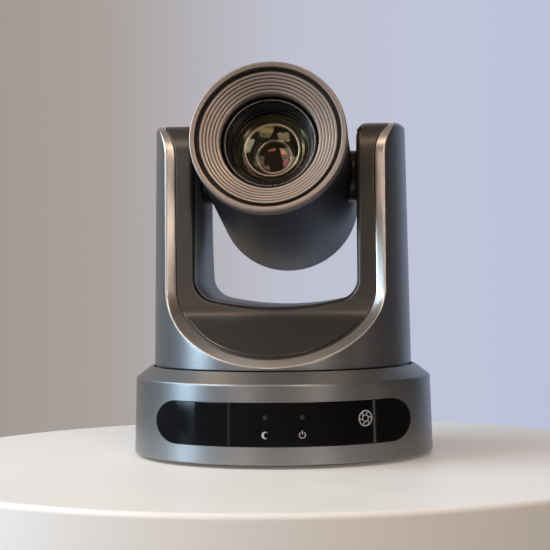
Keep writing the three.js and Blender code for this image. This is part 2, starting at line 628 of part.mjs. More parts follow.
function buildTiltDrive(yoke) {
  const at = (body, z) => alongX(body).translate([0, 0, z]);
  piece('tilt_motor', at(rod(7.6, -36.6, -14, 24), TILT_MOTOR_Z), MOTOR_BLACK, yoke);
  const pinion = pulley(0, TILT_PINION_R, -47.4, -42.4, 24).add(rod(2.0, -43, -37.0, COARSE));
  piece('tilt_pinion', at(pinion, TILT_MOTOR_Z), BRASS, yoke);
  const belt = beltLoop(0, TILT_PULLEY_R, PIVOT_Z - TILT_MOTOR_Z, TILT_PINION_R, 0.9, -46.6, -43.2);
  piece('tilt_belt', alongX(belt).translate([0, 0, PIVOT_Z]), BELT_BLACK, yoke);
}

// ---------------------------------------------------------------- head pieces
// Head profiles are [radius, distance forward of the tilt axis], turned to point forward.
function barrelRadius(forward) {
  const share = (BARREL_FRONT - forward) / (BARREL_FRONT + 42);
  return BARREL_R[0] + (BARREL_R[1] - BARREL_R[0]) * share;
}

// The barrel's outline from the front back to the tail's centre, drawn in by a wall thickness.
function tailOutline(inset, cornerSteps, capSteps) {
  const sphere = TAIL_SPHERE - inset;
  const cornerR = 5.0 - inset * 0.4;
  const side = barrelRadius(-38) - inset;
  const centreR = side - cornerR;
  const centreL = -Math.sqrt((sphere - cornerR) ** 2 - centreR ** 2);
  const end = Math.atan2(centreL, centreR);
  const corner = arcPoints(centreR, centreL, cornerR, 0, end, cornerSteps);
  const cap = [];
  for (let i = 1; i < capSteps; i += 1) {
    const angle = end + (-Math.PI / 2 - end) * i / capSteps;
    cap.push([sphere * Math.cos(angle), sphere * Math.sin(angle)]);
  }
  return [...corner, ...cap, [0, -sphere]];
}

function buildHeadShell(head) {
  const wall = BARREL_WALL;
  const front = revolveRing([
    [barrelRadius(BARREL_FRONT), BARREL_FRONT], [barrelRadius(BARREL_SEAM), BARREL_SEAM + GAP],
    [barrelRadius(BARREL_SEAM) - wall, BARREL_SEAM + GAP], [barrelRadius(BARREL_FRONT) - wall - 0.3, BARREL_FRONT],
  ], FINE);
  const hubHole = alongX(rod(HUB_R + GAP, -60, 60, MEDIUM));
  piece('head_shell', alongForward(front).subtract(hubHole), SATIN_BLACK, head);

  const outside = tailOutline(0, 3, 4);
  const inside = tailOutline(wall, 1, 2).reverse();
  const cap = revolve([...inside, [barrelRadius(BARREL_SEAM) - wall, BARREL_SEAM], [barrelRadius(BARREL_SEAM), BARREL_SEAM],
    ...outside], FINE);
  piece('head_rear_cap', alongForward(cap), SATIN_BLACK, head);
}

// The ring round the lens: a rim, a groove and a cone down to the opening.
function buildBezel(head) {
  const profile = [
    [28.9, 44], [28.9, 48.0], [32.1, 48.0], [32.1, 52.5], [31.6, 53.1], [29.8, 52.8], [29.2, 51.3], [28.1, 51.5],
    [20.3, 47.5], [20.0, 44],
  ];
  piece('front_bezel', alongForward(revolveRing(profile, FINE)), RING_BRONZE, head);
}

function buildHubs(head) {
  const hub = revolve([[0, 23], [HUB_R, 23], [HUB_R, 33.3], [AXLE_R, 33.3], [AXLE_R, 47.4], [0, 47.4]], MEDIUM);
  piece('tilt_hub_left', alongX(hub).mirror([1, 0, 0]), SATIN_BLACK, head);
  piece('tilt_hub_right', alongX(hub), SATIN_BLACK, head);
  piece('tilt_pulley', alongX(pulley(AXLE_R + GAP, TILT_PULLEY_R, -47.4, -42.4, 30)), ALUMINIUM, head);
}

const LENS_R = 17.5;
const ROD_X = 12.4;

function buildLens(head) {
  const housing = revolveRing([
    [15.4, 36.0], [LENS_R, 36.0], [LENS_R, -12], [8, -12], [8, -10.5], [15.4, -10.5], [15.4, 33.0], [11.0, 33.0],
    [11.0, 34.4], [15.4, 34.4],
  ], 36);
  piece('lens_housing', alongForward(housing), MOTOR_BLACK, head);
  const ring = revolveRing([
    [18.2, 36.3], [19.6, 36.3], [19.6, 44.0], [19.2, 44.6], [18.2, 44.6], [17.4, 43.0], [17.4, 41.4], [16.4, 40.6],
    [16.4, 36.3], [17.3, 36.3],
  ], 36);
  piece('lens_front_ring', alongForward(ring), SATIN_BLACK, head);
  const frontLens = revolve([
    [0, 35.2], [9, 35.2], [15.0, 34.8], [15.0, 37.5], [12.5, 38.9], [9.0, 40.2], [4.5, 41.0], [0, 41.2],
  ], 30);
  piece('front_lens', alongForward(frontLens), LENS_GLASS, head);

  const rods = [-ROD_X, ROD_X].map((x) => moved(alongForward(rod(1.0, -10.2, 32.7, 10)), x, 0, 0));
  piece('guide_rod_left', rods[0], STEEL, head);
  piece('guide_rod_right', rods[1], STEEL, head);

  const rodHoles = [-ROD_X, ROD_X].map((x) => moved(alongForward(rod(1.0 + GAP, -20, 50, 12)), x, 0, 0));
  const carriage = (profile) => alongForward(revolve(profile, MEDIUM)).subtract(union(rodHoles));
  piece('zoom_carriage', carriage([
    [0, 18.0], [6.5, 18.8], [14.9, 18.8], [14.9, 23.5], [9.5, 23.5], [7.0, 25.3], [0, 26.6],
  ]), MOTOR_BLACK, head);
  piece('focus_carriage', carriage([
    [0, 0.6], [4.0, 0.2], [14.9, 0.2], [14.9, 4.0], [6.5, 4.0], [4.5, 4.9], [0, 5.4],
  ]), MOTOR_BLACK, head);
  const iris = tube(5.0, 14.9, 10.8, 12.6);
  piece('iris_unit', alongForward(iris).subtract(union(rodHoles)), MOTOR_BLACK, head);
  piece('sensor_board', block([-17, 17], [14.3, 15.8], [-17, 17]), BOARD_GREEN, head);
  piece('image_sensor', block([-5, 5], [12.5, 14.0], [-4, 4]), SENSOR_GLASS, head);
  const motor = (z) => moved(alongForward(rod(3.9, 4, 19, COARSE)), 0, 0, z);
  piece('zoom_motor', motor(22.0), MOTOR_BLACK, head);
  piece('focus_motor', motor(-22.0), MOTOR_BLACK, head);
}

// ---------------------------------------------------------------- assembly
const camera = new THREE.Group();
const base = new THREE.Group();
const yoke = new THREE.Group();
const head = new THREE.Group();
yoke.rotation.z = -PAN_REST;
head.position.z = PIVOT_Z;
head.rotation.x = -TILT_REST;
yoke.add(head);
camera.add(base, yoke);

buildBaseShell(base);
buildBasePlate(base);
buildChassis(base);
buildMainBoard(base);
buildFrontElectronics(base);
buildRearPanel(base);
buildRocker(base);
buildPanDrive(base, yoke);
buildYokeShell(yoke);
buildYokeCovers(yoke);
buildMouthLining(yoke);
buildYokeFrame(yoke);
buildTiltDrive(yoke);
buildHeadShell(head);
buildBezel(head);
buildHubs(head);
buildLens(head);

export default camera;
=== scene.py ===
# The looks of a pan-tilt-zoom conference camera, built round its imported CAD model.
# Shapes are worked out in millimetres and written to Blender in metres, in the CAD frame.
# Yoke pieces are drawn in the yoke's own frame and head pieces in the lens's own frame.
import bmesh
import bpy
import json
from collections import namedtuple
from math import asin, atan2, copysign, cos, dist, pi, radians, sin, sqrt, tan
from mathutils import Matrix, Vector


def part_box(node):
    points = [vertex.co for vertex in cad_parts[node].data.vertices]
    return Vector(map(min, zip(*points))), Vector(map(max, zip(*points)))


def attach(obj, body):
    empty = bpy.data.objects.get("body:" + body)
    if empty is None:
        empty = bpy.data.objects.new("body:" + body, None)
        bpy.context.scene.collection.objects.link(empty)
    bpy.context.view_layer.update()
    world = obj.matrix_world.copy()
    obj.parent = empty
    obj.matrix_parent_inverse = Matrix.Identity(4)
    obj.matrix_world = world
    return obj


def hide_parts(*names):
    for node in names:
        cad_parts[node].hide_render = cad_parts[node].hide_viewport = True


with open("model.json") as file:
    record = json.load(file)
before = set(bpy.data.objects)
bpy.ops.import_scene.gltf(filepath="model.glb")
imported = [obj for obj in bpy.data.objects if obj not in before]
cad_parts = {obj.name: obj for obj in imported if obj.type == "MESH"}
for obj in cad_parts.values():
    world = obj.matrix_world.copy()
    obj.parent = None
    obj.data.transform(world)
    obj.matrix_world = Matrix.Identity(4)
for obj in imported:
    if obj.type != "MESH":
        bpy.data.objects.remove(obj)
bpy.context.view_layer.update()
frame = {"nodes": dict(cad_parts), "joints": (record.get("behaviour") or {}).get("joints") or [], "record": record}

# ------ places from the CAD frame
MM = 0.001
JOINTS = {joint["name"]: joint for joint in frame["joints"]}
UP = Vector((0, 0, 1))
ACROSS = Vector(JOINTS["tilt"]["axis"]).normalized()
LENS_WAY = Vector(JOINTS["zoom"]["axis"]).normalized()
PIVOT = Vector(JOINTS["tilt"]["pos_m"])


def axes_matrix(x_axis, y_axis, z_axis, origin=(0, 0, 0)):
    turn = Matrix((x_axis, y_axis, z_axis)).transposed().to_4x4()
    return Matrix.Translation(origin) @ turn


WORLD_FRAME = Matrix.Identity(4)
YOKE_FRAME = axes_matrix(ACROSS, UP.cross(ACROSS), UP)
LENS_FRAME = axes_matrix(ACROSS, ACROSS.cross(-LENS_WAY), LENS_WAY, PIVOT)
HUB_FRAMES = {
    "right": axes_matrix(UP, ACROSS.cross(UP), ACROSS, PIVOT),
    "left": axes_matrix(UP, (-ACROSS).cross(UP), -ACROSS, PIVOT),
}
SLOT_OF = {part["node"]: part["material_slot"] for part in frame["record"]["subparts"]}


def box_mm(node):
    low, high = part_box(node)
    return low / MM, high / MM


SHELL_LOW, SHELL_HIGH = box_mm("base_shell")
WINDOW_LOW, WINDOW_HIGH = box_mm("status_window")
PANEL_LOW, PANEL_HIGH = box_mm("rear_panel")
YOKE_LOW, YOKE_HIGH = box_mm("yoke_shell")

# ------ driving dimensions
BASE_R = SHELL_HIGH.x            # radius at the base's lower edge
BASE_BOTTOM = SHELL_LOW.z
BASE_TOP = SHELL_HIGH.z
BASE_BACK = SHELL_HIGH.y         # the flat back
BASE_TAPER = 0.0317
SHOULDER_Z = BASE_TOP - 4.8
RIM_R = 57.0
RIM_INNER_R = 55.9
DECK_Z = BASE_TOP - 1.3
DECK_HOLE_R = 28.0
WALL = 3.0
WINDOW_Z = (WINDOW_LOW.z, WINDOW_HIGH.z)
WINDOW_HALF_ANGLE = radians(55)
FAR = 90.0                       # beyond the base on every side, for cutting

YOKE_BOTTOM = YOKE_LOW.z
YOKE_TOP = YOKE_HIGH.z - 0.6     # a little under the CAD shell's top
YOKE_R = YOKE_HIGH.x
YOKE_TAPER = 0.0175
ARM_FACE = 27.0
BEND_Z = 60.0
FRONT_SLOPE = 24.0 / 17.0        # the belly's run forward for each millimetre down
FRONT_BEND = 3.2                 # how softly the face turns into the belly
REAR_BEND_Z = 100.0
REAR_SWEEP_R = 80.0
CREST_R = 14.3                   # the covers roll back over the top of the arms on this radius
CREST_Z = YOKE_TOP - CREST_R
SHOULDER_R = 2.5                 # rounding of the arms' outer top edge
MOUTH_TOP_R = 4.0                # rounding of the arms' inner top corner
MOUTH_HALF = 33.9
MOUTH_FLOOR = 63.4
MOUTH_ARC_R = 121.0
MOUTH_CORNER_R = 9.0
LINER_WALL = 2.0
TRIM_BACK = 21.9
SEAM = 0.3
SEAM_DEPTH = 2.6
AXLE_HOLE_R = 6.2                # the hole in the lining for the hub's axle

CURVE_STEPS = 40                 # stations round the half ellipse of the bands
STRAIGHT_STEPS = 10
CREST_STEPS = 22
AROUND = 192                     # steps round a large turned part
WELD_DISTANCE = 1e-6             # metres


# ------ mesh helpers
def weld(mesh):
    work = bmesh.new()
    work.from_mesh(mesh)
    bmesh.ops.remove_doubles(work, verts=work.verts, dist=WELD_DISTANCE)
    bmesh.ops.dissolve_degenerate(work, dist=WELD_DISTANCE, edges=work.edges)
    bmesh.ops.recalc_face_normals(work, faces=work.faces)
    work.to_mesh(mesh)
    work.free()


def smooth(mesh, sharp):
    """Smooth shading, with the edges sharper than an angle in degrees kept sharp."""
    mesh.shade_smooth()
    mesh.set_sharp_from_angle(angle=radians(sharp))


def add_object(name, data):
    made = bpy.data.objects.new(name, data)
    bpy.context.scene.collection.objects.link(made)
    return made


def make_piece(name, vertices, faces, place, sharp, paints):
    mesh = bpy.data.meshes.new(name)
    mesh.from_pydata([Vector(point) * MM for point in vertices], [], faces)
    mesh.polygons.foreach_set("material_index", paints)
    weld(mesh)
    mesh.transform(place)
    smooth(mesh, sharp)
    return add_object(name, mesh)


def finish_piece(piece, paint, body, stands_for=None):
    """Paints a piece, sets its body and hides the CAD node that it stands for."""
    piece.data.materials.append(paint)
    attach(piece, body)
    if stands_for:
        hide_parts(stands_for)
    return piece


def thicken(piece, thickness):
    """Gives an open skin a wall on its inner side."""
    wall = piece.modifiers.new("wall", "SOLIDIFY")
    wall.thickness = thickness * MM
    wall.offset = -1
    wall.use_even_offset = False


def bevel(piece, width, segments=3, angle=40.0):
    rounding = piece.modifiers.new("edges", "BEVEL")
    rounding.width = width * MM
    rounding.segments = segments
    rounding.limit_method = "ANGLE"
    rounding.angle_limit = radians(angle)
    rounding.harden_normals = False
    normals = piece.modifiers.new("normals", "WEIGHTED_NORMAL")
    normals.keep_sharp = True
    normals.weight = 60


class Patches:
    """Gathers grids of points, which are welded where they meet."""

    def __init__(self):
        self.vertices = []
        self.faces = []
        self.paints = []             # which of the piece's materials each face has

    def grid(self, rows, ring=False, painted=0):
        """Joins rows of points; the first columns, as many as painted, get the second material."""
        start = len(self.vertices)
        width = len(rows[0])
        for row in rows:
            self.vertices.extend(row)
        for i in range(len(rows) - 1):
            for j in range(width if ring else width - 1):
                a = start + i * width + j
                b = start + i * width + (j + 1) % width
                self.faces.append((a, b, b + width, a + width))
                self.paints.append(1 if j < painted else 0)
        return self

    def face(self, loop):
        start = len(self.vertices)
        self.vertices.extend(loop)
        self.faces.append(tuple(range(start, start + len(loop))))
        self.paints.append(0)
        return self

    def plate(self, rows):
        """A thin plate between two outlines."""
        self.grid(rows, ring=True).face(rows[0]).face(list(reversed(rows[1])))

    def mirrored(self):
        """Adds the mirror image across the middle plane X = 0."""
        count = len(self.vertices)
        self.vertices += [(-x, y, z) for x, y, z in self.vertices]
        self.faces += [tuple(count + i for i in reversed(face)) for face in self.faces]
        self.paints += self.paints
        return self

    def piece(self, name, place=WORLD_FRAME, sharp=35.0):
        return make_piece(name, self.vertices, self.faces, place, sharp, self.paints)


def lerp(a, b, share):
    return a + (b - a) * share


def mix(a, b, share):
    return tuple(lerp(x, y, share) for x, y in zip(a, b))


def steps(count):
    return [i / count for i in range(count + 1)]


def quadratic(a, b, c, count):
    """Points of the curve from a to c that is pulled towards b."""
    return [mix(mix(a, b, s), mix(b, c, s), s) for s in steps(count)]


def rounded(corners, steps_each=5):
    """A polyline through (x, y, radius) corners, each rounded with an arc."""
    points = []
    for i, (x, y, radius) in enumerate(corners):
        here = Vector((x, y))
        if radius <= 0 or i in (0, len(corners) - 1):
            points.append((x, y))
            continue
        back = (Vector(corners[i - 1][:2]) - here)
        ahead = (Vector(corners[i + 1][:2]) - here)
        half = back.angle(ahead) / 2
        cut = min(radius / tan(half), back.length * 0.49, ahead.length * 0.49)
        start = here + back.normalized() * cut
        end = here + ahead.normalized() * cut
        centre = here + (back.normalized() + ahead.normalized()).normalized() * cut / cos(half)
        first = start - centre
        turn = first.angle_signed(end - centre)
        for share in steps(steps_each):
            spoke = first.copy()
            spoke.rotate(Matrix.Rotation(-turn * share, 2))
            points.append(tuple(centre + spoke))
    return points


def supported(profile, near=0.25):
    """Adds a point close to each end of every long straight run, which keeps its shading flat."""
    points = [profile[0]]
    for here, following in zip(profile, profile[1:]):
        length = dist(here, following)
        if length > near * 5:
            points.append(mix(here, following, near / length))
            points.append(mix(here, following, 1 - near / length))
        points.append(following)
    return points


def lathe(name, profile, place=LENS_FRAME, around=AROUND, sharp=35.0):
    """Turns (radius, height) points about the Z axis of the place's frame."""
    profile = supported(profile)
    patches = Patches()
    rings = []
    for radius, height in profile:
        ring = []
        for j in range(around):
            angle = 2 * pi * j / around
            ring.append((radius * cos(angle), radius * sin(angle), height))
        rings.append(ring)
    patches.grid(rings, ring=True)
    return patches.piece(name, place, sharp)


def loft(name, sections, place=WORLD_FRAME, sharp=35.0):
    """Joins closed loops of equal length, with a flat cap at each end."""
    patches = Patches().grid(sections, ring=True)
    patches.face(list(reversed(sections[0])))
    patches.face(sections[-1])
    return patches.piece(name, place, sharp)


def cut_with(piece, cutter):
    """Subtracts one mesh from another for good and removes the cutter."""
    modifier = piece.modifiers.new("cut", "BOOLEAN")
    modifier.operation = "DIFFERENCE"
    modifier.solver = "EXACT"
    modifier.object = cutter
    bpy.context.view_layer.update()
    graph = bpy.context.evaluated_depsgraph_get()
    cut = bpy.data.meshes.new_from_object(piece.evaluated_get(graph))
    piece.modifiers.clear()
    piece.data = cut
    bpy.data.objects.remove(cutter)


# ------ materials
def node(tree, kind, **values):
    made = tree.nodes.new(kind)
    for key, value in values.items():
        if hasattr(made, key):
            setattr(made, key, value)
        else:
            made.inputs[key.replace("_", " ")].default_value = value
    return made


def principled(name, color, roughness, metallic=0.0, **sockets):
    made = bpy.data.materials.new(name)
    made.use_nodes = True
    shader = made.node_tree.nodes["Principled BSDF"]
    shader.inputs["Base Color"].default_value = (*color, 1)
    shader.inputs["Roughness"].default_value = roughness
    shader.inputs["Metallic"].default_value = metallic
    for key, value in sockets.items():
        shader.inputs[key.replace("_", " ")].default_value = value
    return made


def pattern_on(tree, kind, scale, **values):
    """A pattern laid out in the object's own coordinates."""
    place = node(tree, "ShaderNodeTexCoord")
    pattern = node(tree, kind, Scale=scale, **values)
    tree.links.new(place.outputs["Object"], pattern.inputs["Vector"])
    return pattern


def mottle(made, size, color_change, roughness_change):
    """Varies the colour and roughness with noise of a size in millimetres."""
    tree = made.node_tree
    link = tree.links.new
    shader = tree.nodes["Principled BSDF"]
    noise = pattern_on(tree, "ShaderNodeTexNoise", 1 / (size * MM), Detail=4.0)
    base = shader.inputs["Base Color"].default_value
    shade = node(tree, "ShaderNodeMix", data_type="RGBA")
    shade.inputs["A"].default_value = (*[c * (1 - color_change) for c in base[:3]], 1)
    shade.inputs["B"].default_value = (*[min(1, c * (1 + color_change)) for c in base[:3]], 1)
    link(noise.outputs["Fac"], shade.inputs["Factor"])
    link(shade.outputs["Result"], shader.inputs["Base Color"])
    level = shader.inputs["Roughness"].default_value
    smoothest = max(0.02, level - roughness_change)
    rough = node(tree, "ShaderNodeMapRange", From_Min=0.3, From_Max=0.7, To_Min=smoothest,
                 To_Max=level + roughness_change)
    link(noise.outputs["Fac"], rough.inputs["Value"])
    link(rough.outputs["Result"], shader.inputs["Roughness"])


def relief(made, size, depth, kind="ShaderNodeTexNoise"):
    """Adds fine relief: bumps of a size and a depth in millimetres."""
    tree = made.node_tree
    link = tree.links.new
    shader = tree.nodes["Principled BSDF"]
    pattern = pattern_on(tree, kind, 1 / (size * MM))
    bump = node(tree, "ShaderNodeBump", Distance=depth * MM, Strength=1.0)
    height = "Distance" if kind == "ShaderNodeTexVoronoi" else "Fac"
    link(pattern.outputs[height], bump.inputs["Height"])
    earlier = shader.inputs["Normal"].links
    if earlier:
        link(earlier[0].from_socket, bump.inputs["Normal"])
    link(bump.outputs["Normal"], shader.inputs["Normal"])


def metallic_paint(name, color, roughness, metallic=0.8):
    """Sprayed metallic paint: fine flakes under a thin lacquer with a little orange peel."""
    made = principled(name, color, roughness, metallic, Coat_Weight=0.12, Coat_Roughness=0.22)
    mottle(made, 0.16, color_change=0.10, roughness_change=0.03)
    relief(made, 0.12, 0.0009, kind="ShaderNodeTexVoronoi")
    relief(made, 2.6, 0.0016)
    return made


def moulded_plastic(name, color, roughness, grain=0.35, depth=0.004, **sockets):
    """Spark-eroded mould texture on plastic."""
    made = principled(name, color, roughness, **sockets)
    mottle(made, grain * 3, color_change=0.08, roughness_change=0.05)
    relief(made, grain, depth)
    return made


def machined_metal(name, color, roughness):
    """Turned or stamped bare metal with a faintly uneven polish."""
    made = principled(name, color, roughness, 1.0)
    mottle(made, 0.9, color_change=0.08, roughness_change=0.07)
    relief(made, 0.3, 0.002)
    return made


GUNMETAL = metallic_paint("gunmetal_paint", (0.27, 0.268, 0.27), 0.36)
COVER_PAINT = metallic_paint("cover_paint", (0.105, 0.092, 0.082), 0.36, metallic=0.7)
BAND_PAINT = metallic_paint("band_paint", (0.74, 0.65, 0.57), 0.34, metallic=0.85)
RING_PAINT = metallic_paint("ring_paint", (0.34, 0.285, 0.25), 0.36, metallic=0.75)
LINER_GREY = moulded_plastic("liner_plastic", (0.20, 0.205, 0.225), 0.42)
SATIN_BLACK = moulded_plastic("satin_black", (0.011, 0.011, 0.013), 0.36, grain=0.25, depth=0.0022)
BARREL_BLACK = moulded_plastic("barrel_black", (0.008, 0.008, 0.010), 0.38, grain=0.22, depth=0.0012,
                               Specular_IOR_Level=0.35)
TRIM_BLACK = moulded_plastic("trim_black", (0.006, 0.006, 0.006), 0.5)
WINDOW_BLACK = moulded_plastic("window_black", (0.0035, 0.003, 0.0035), 0.07, grain=6, depth=0.0008)
RUBBER = moulded_plastic("foot_rubber", (0.018, 0.018, 0.018), 0.8, grain=0.4, depth=0.02)
STEEL = machined_metal("steel", (0.56, 0.57, 0.59), 0.28)
LED_GREEN = moulded_plastic("led_green", (0.02, 0.16, 0.05), 0.25)
LED_AMBER = moulded_plastic("led_amber", (0.30, 0.13, 0.01), 0.25)
LIGHT_DARK = moulded_plastic("unlit_light", (0.03, 0.03, 0.033), 0.2, grain=0.5, depth=0.001)
MARK_GREY = moulded_plastic("mark_grey", (0.42, 0.42, 0.43), 0.45, grain=0.2, depth=0.001)
# Painted shade: the rim's channel is coloured dark brown for the shadow that falls in the groove.
CHANNEL_PAINTED_SHADE = moulded_plastic("channel_painted_shade", (0.022, 0.014, 0.010), 0.45, grain=0.25, depth=0.001)
CONE_BLACK = moulded_plastic("cone_black", (0.11, 0.10, 0.065), 0.2, grain=0.5, depth=0.0004, Metallic=1.0)
LENS_BLACK = moulded_plastic("lens_black", (0.006, 0.006, 0.007), 0.3, grain=0.25, depth=0.0015)
LENS_METAL = machined_metal("lens_metal", (0.95, 0.82, 0.70), 0.36)
PALE_METAL = machined_metal("pale_metal", (0.80, 0.76, 0.72), 0.32)
RIM_METAL = machined_metal("rim_metal", (0.45, 0.43, 0.42), 0.3)
GOLD = machined_metal("contact_gold", (0.85, 0.6, 0.25), 0.25)
WHITE_TABLE = principled("table_white", (0.86, 0.82, 0.78), 0.45, Emission_Color=(1.0, 0.92, 0.84, 1),
                         Emission_Strength=0.12)
mottle(WHITE_TABLE, 30, color_change=0.012, roughness_change=0.05)
relief(WHITE_TABLE, 0.8, 0.004)


def coated_glass(name, tint, strength, at_edge):
    """A lens element: clear, with the tinted reflections of its coating."""
    made = bpy.data.materials.new(name)
    made.use_nodes = True
    tree = made.node_tree
    tree.nodes.clear()
    link = tree.links.new
    clear = node(tree, "ShaderNodeBsdfTransparent", Color=(0.965, 0.955, 0.94, 1))
    gloss = node(tree, "ShaderNodeBsdfGlossy", Color=(*tint, 1))
    facing = node(tree, "ShaderNodeLayerWeight", Blend=0.35)
    smear = pattern_on(tree, "ShaderNodeTexNoise", 240.0, Detail=2.0)
    amount = node(tree, "ShaderNodeMath", operation="MULTIPLY_ADD")
    amount.inputs[1].default_value = at_edge
    amount.inputs[2].default_value = strength
    haze = node(tree, "ShaderNodeMapRange", To_Min=0.01, To_Max=0.05)
    blend = node(tree, "ShaderNodeMixShader")
    out = node(tree, "ShaderNodeOutputMaterial")
    link(smear.outputs["Fac"], haze.inputs["Value"])
    link(haze.outputs["Result"], gloss.inputs["Roughness"])
    link(facing.outputs["Facing"], amount.inputs[0])
    link(amount.outputs["Value"], blend.inputs["Fac"])
    link(clear.outputs["BSDF"], blend.inputs[1])
    link(gloss.outputs["BSDF"], blend.inputs[2])
    link(blend.outputs["Shader"], out.inputs["Surface"])
    return made


FRONT_GLASS = coated_glass("front_glass", (1.0, 0.90, 0.55), 0.026, 0.04)
INNER_GLASS = coated_glass("inner_glass", (1.0, 0.88, 0.42), 0.035, 0.05)
DEEP_GLASS = coated_glass("deep_glass", (1.0, 0.42, 0.45), 0.10, 0.1)

SLOT_FINISH = {
    "gunmetal_paint": GUNMETAL, "cover_paint": COVER_PAINT, "ring_paint": RING_PAINT,
    "liner_plastic": LINER_GREY, "satin_black": SATIN_BLACK, "trim_black": TRIM_BLACK,
    "window_black": WINDOW_BLACK, "foot_rubber": RUBBER, "steel": STEEL, "lens_glass": FRONT_GLASS,
    "led_green": LED_GREEN,
    "led_red": moulded_plastic("led_red", (0.16, 0.012, 0.01), 0.25),
    "plate_black": moulded_plastic("plate_black", (0.022, 0.022, 0.024), 0.55, grain=0.5, depth=0.012),
    "board_green": moulded_plastic("board_green", (0.012, 0.11, 0.05), 0.38, grain=1.2, depth=0.01),
    "motor_black": moulded_plastic("motor_black", (0.02, 0.02, 0.022), 0.42, grain=0.3, depth=0.003),
    "belt_rubber": moulded_plastic("belt_rubber", (0.012, 0.012, 0.012), 0.7, grain=0.6, depth=0.02),
    "sensor_glass": moulded_plastic("sensor_glass", (0.02, 0.015, 0.06), 0.08, grain=2.0, depth=0.0005),
    "aluminium": machined_metal("aluminium", (0.72, 0.73, 0.75), 0.42),
    "brass": machined_metal("brass", (0.72, 0.52, 0.24), 0.26),
}


def dress_cad_nodes():
    """Gives every carried-over CAD node the procedural finish of its slot."""
    for name, slot in SLOT_OF.items():
        cad = frame["nodes"][name]
        cad.data.materials.clear()
        cad.data.materials.append(SLOT_FINISH[slot])


# ------ base
def base_radius(z):
    return BASE_R - (z - BASE_BOTTOM) * BASE_TAPER


def on_base(angle, z, proud=0.0):
    radius = base_radius(z) + proud
    return (radius * sin(angle), -radius * cos(angle), z)


def solid_box(name, x, y, z):
    """A plain box, used only to cut with."""
    section = [(x[0], y[0]), (x[1], y[0]), (x[1], y[1]), (x[0], y[1])]
    return loft(name, [[(*corner, level) for corner in section] for level in z])


def window_strip(name, grow, proud, depth):
    """A strip wrapped round the front of the base; its ends are round as seen from the front."""
    half_height = (WINDOW_Z[1] - WINDOW_Z[0]) / 2 + grow
    middle = (WINDOW_Z[0] + WINDOW_Z[1]) / 2
    reach = BASE_R * sin(WINDOW_HALF_ANGLE) + grow
    end = []
    for share in steps(24):
        turn = radians(lerp(5, 90, share))
        end.append((-reach + half_height * (1 - cos(turn)), half_height * sin(turn)))
    columns = list(end)
    for share in steps(72)[1:-1]:
        columns.append((lerp(-reach + half_height, reach - half_height, share), half_height))
    columns += [(-x, height) for x, height in reversed(end)]
    sections = []
    for x, height in columns:
        angle = asin(x / BASE_R)
        section = []
        for side, up in ((1, -1), (1, 1), (-1, 1), (-1, -1)):
            section.append(on_base(angle, middle + up * height, proud if side > 0 else -depth))
        sections.append(section)
    return loft(name, sections)


def build_base_shell():
    outer = rounded([
        (0, BASE_BOTTOM, 0), (BASE_R, BASE_BOTTOM, 0.5), (base_radius(SHOULDER_Z), SHOULDER_Z, 1.3),
        (RIM_R, BASE_TOP, 0.4), (RIM_INNER_R, BASE_TOP, 0.3), (RIM_INNER_R, DECK_Z, 0.25), (0, DECK_Z, 0),
    ], steps_each=8)
    shell = lathe("base_casing", outer, WORLD_FRAME, around=288)
    ceiling = DECK_Z - 2.2
    cavity = lathe("cavity", [
        (0, 0), (BASE_R - WALL, 0), (base_radius(31) - WALL, 31), (RIM_R - 3.5, ceiling), (0, ceiling),
    ], WORLD_FRAME, around=96)
    cut_with(cavity, solid_box("behind", (-FAR, FAR), (BASE_BACK - 2.4, FAR), (-5, 60)))
    cut_with(shell, solid_box("behind", (-FAR, FAR), (BASE_BACK, FAR), (-5, 60)))
    cut_with(shell, cavity)
    cut_with(shell, window_strip("window_opening", SEAM * 0.6, 3.0, 12.0))
    cut_with(shell, solid_box("rear_opening", (PANEL_LOW.x - SEAM, PANEL_HIGH.x + SEAM), (40, FAR),
                              (PANEL_LOW.z - SEAM, PANEL_HIGH.z + SEAM)))
    hole = [(0, 30), (DECK_HOLE_R, 30), (DECK_HOLE_R, 42), (0, 42)]
    cut_with(shell, lathe("deck_hole", hole, WORLD_FRAME, 96))
    smooth(shell.data, 35)
    bevel(shell, 0.28, angle=50)
    finish_piece(shell, GUNMETAL, "base", "base_shell")


def build_window():
    window = window_strip("front_window", 0.0, -0.06, 1.5)
    bevel(window, 0.22, angle=50)
    finish_piece(window, WINDOW_BLACK, "base", "status_window")


# The window's printed marks: generic signs in place of words, as thin inlays in its surface.
MARK_THICK = 0.12


def inlay(name, outlines, paint=MARK_GREY):
    """Flat outlines of (x, z) points, wrapped on the window as one thin piece."""
    patches = Patches()
    for outline in outlines:
        rows = []
        for level in (0.0, -MARK_THICK):
            rows.append([on_base(x / base_radius(z), z, level) for x, z in outline])
        patches.plate(rows)
    finish_piece(patches.piece(name), paint, "base")


def arc(cx, cz, radius, start, end, count=20):
    """Points on a circle, from one angle to another in degrees."""
    points = []
    for share in steps(count):
        angle = radians(lerp(start, end, share))
        points.append((cx + radius * cos(angle), cz + radius * sin(angle)))
    return points


def arc_band(cx, cz, inner, outer, start, end, count=24):
    return arc(cx, cz, outer, start, end, count) + list(reversed(arc(cx, cz, inner, start, end, count)))


def bar(x0, z0, x1, z1, width):
    way = Vector((x1 - x0, z1 - z0)).normalized() * width / 2
    start = [(x0 - way.y, z0 + way.x), (x0 + way.y, z0 - way.x)]
    return start + [(x1 + way.y, z1 - way.x), (x1 - way.y, z1 + way.x)]


STANDBY_X = -7.4
POWER_X = 7.4
SIGN_Z = 13.6
LIGHT_Z = 20.6
APERTURE_X = 34.5
APERTURE_Z = 19.2


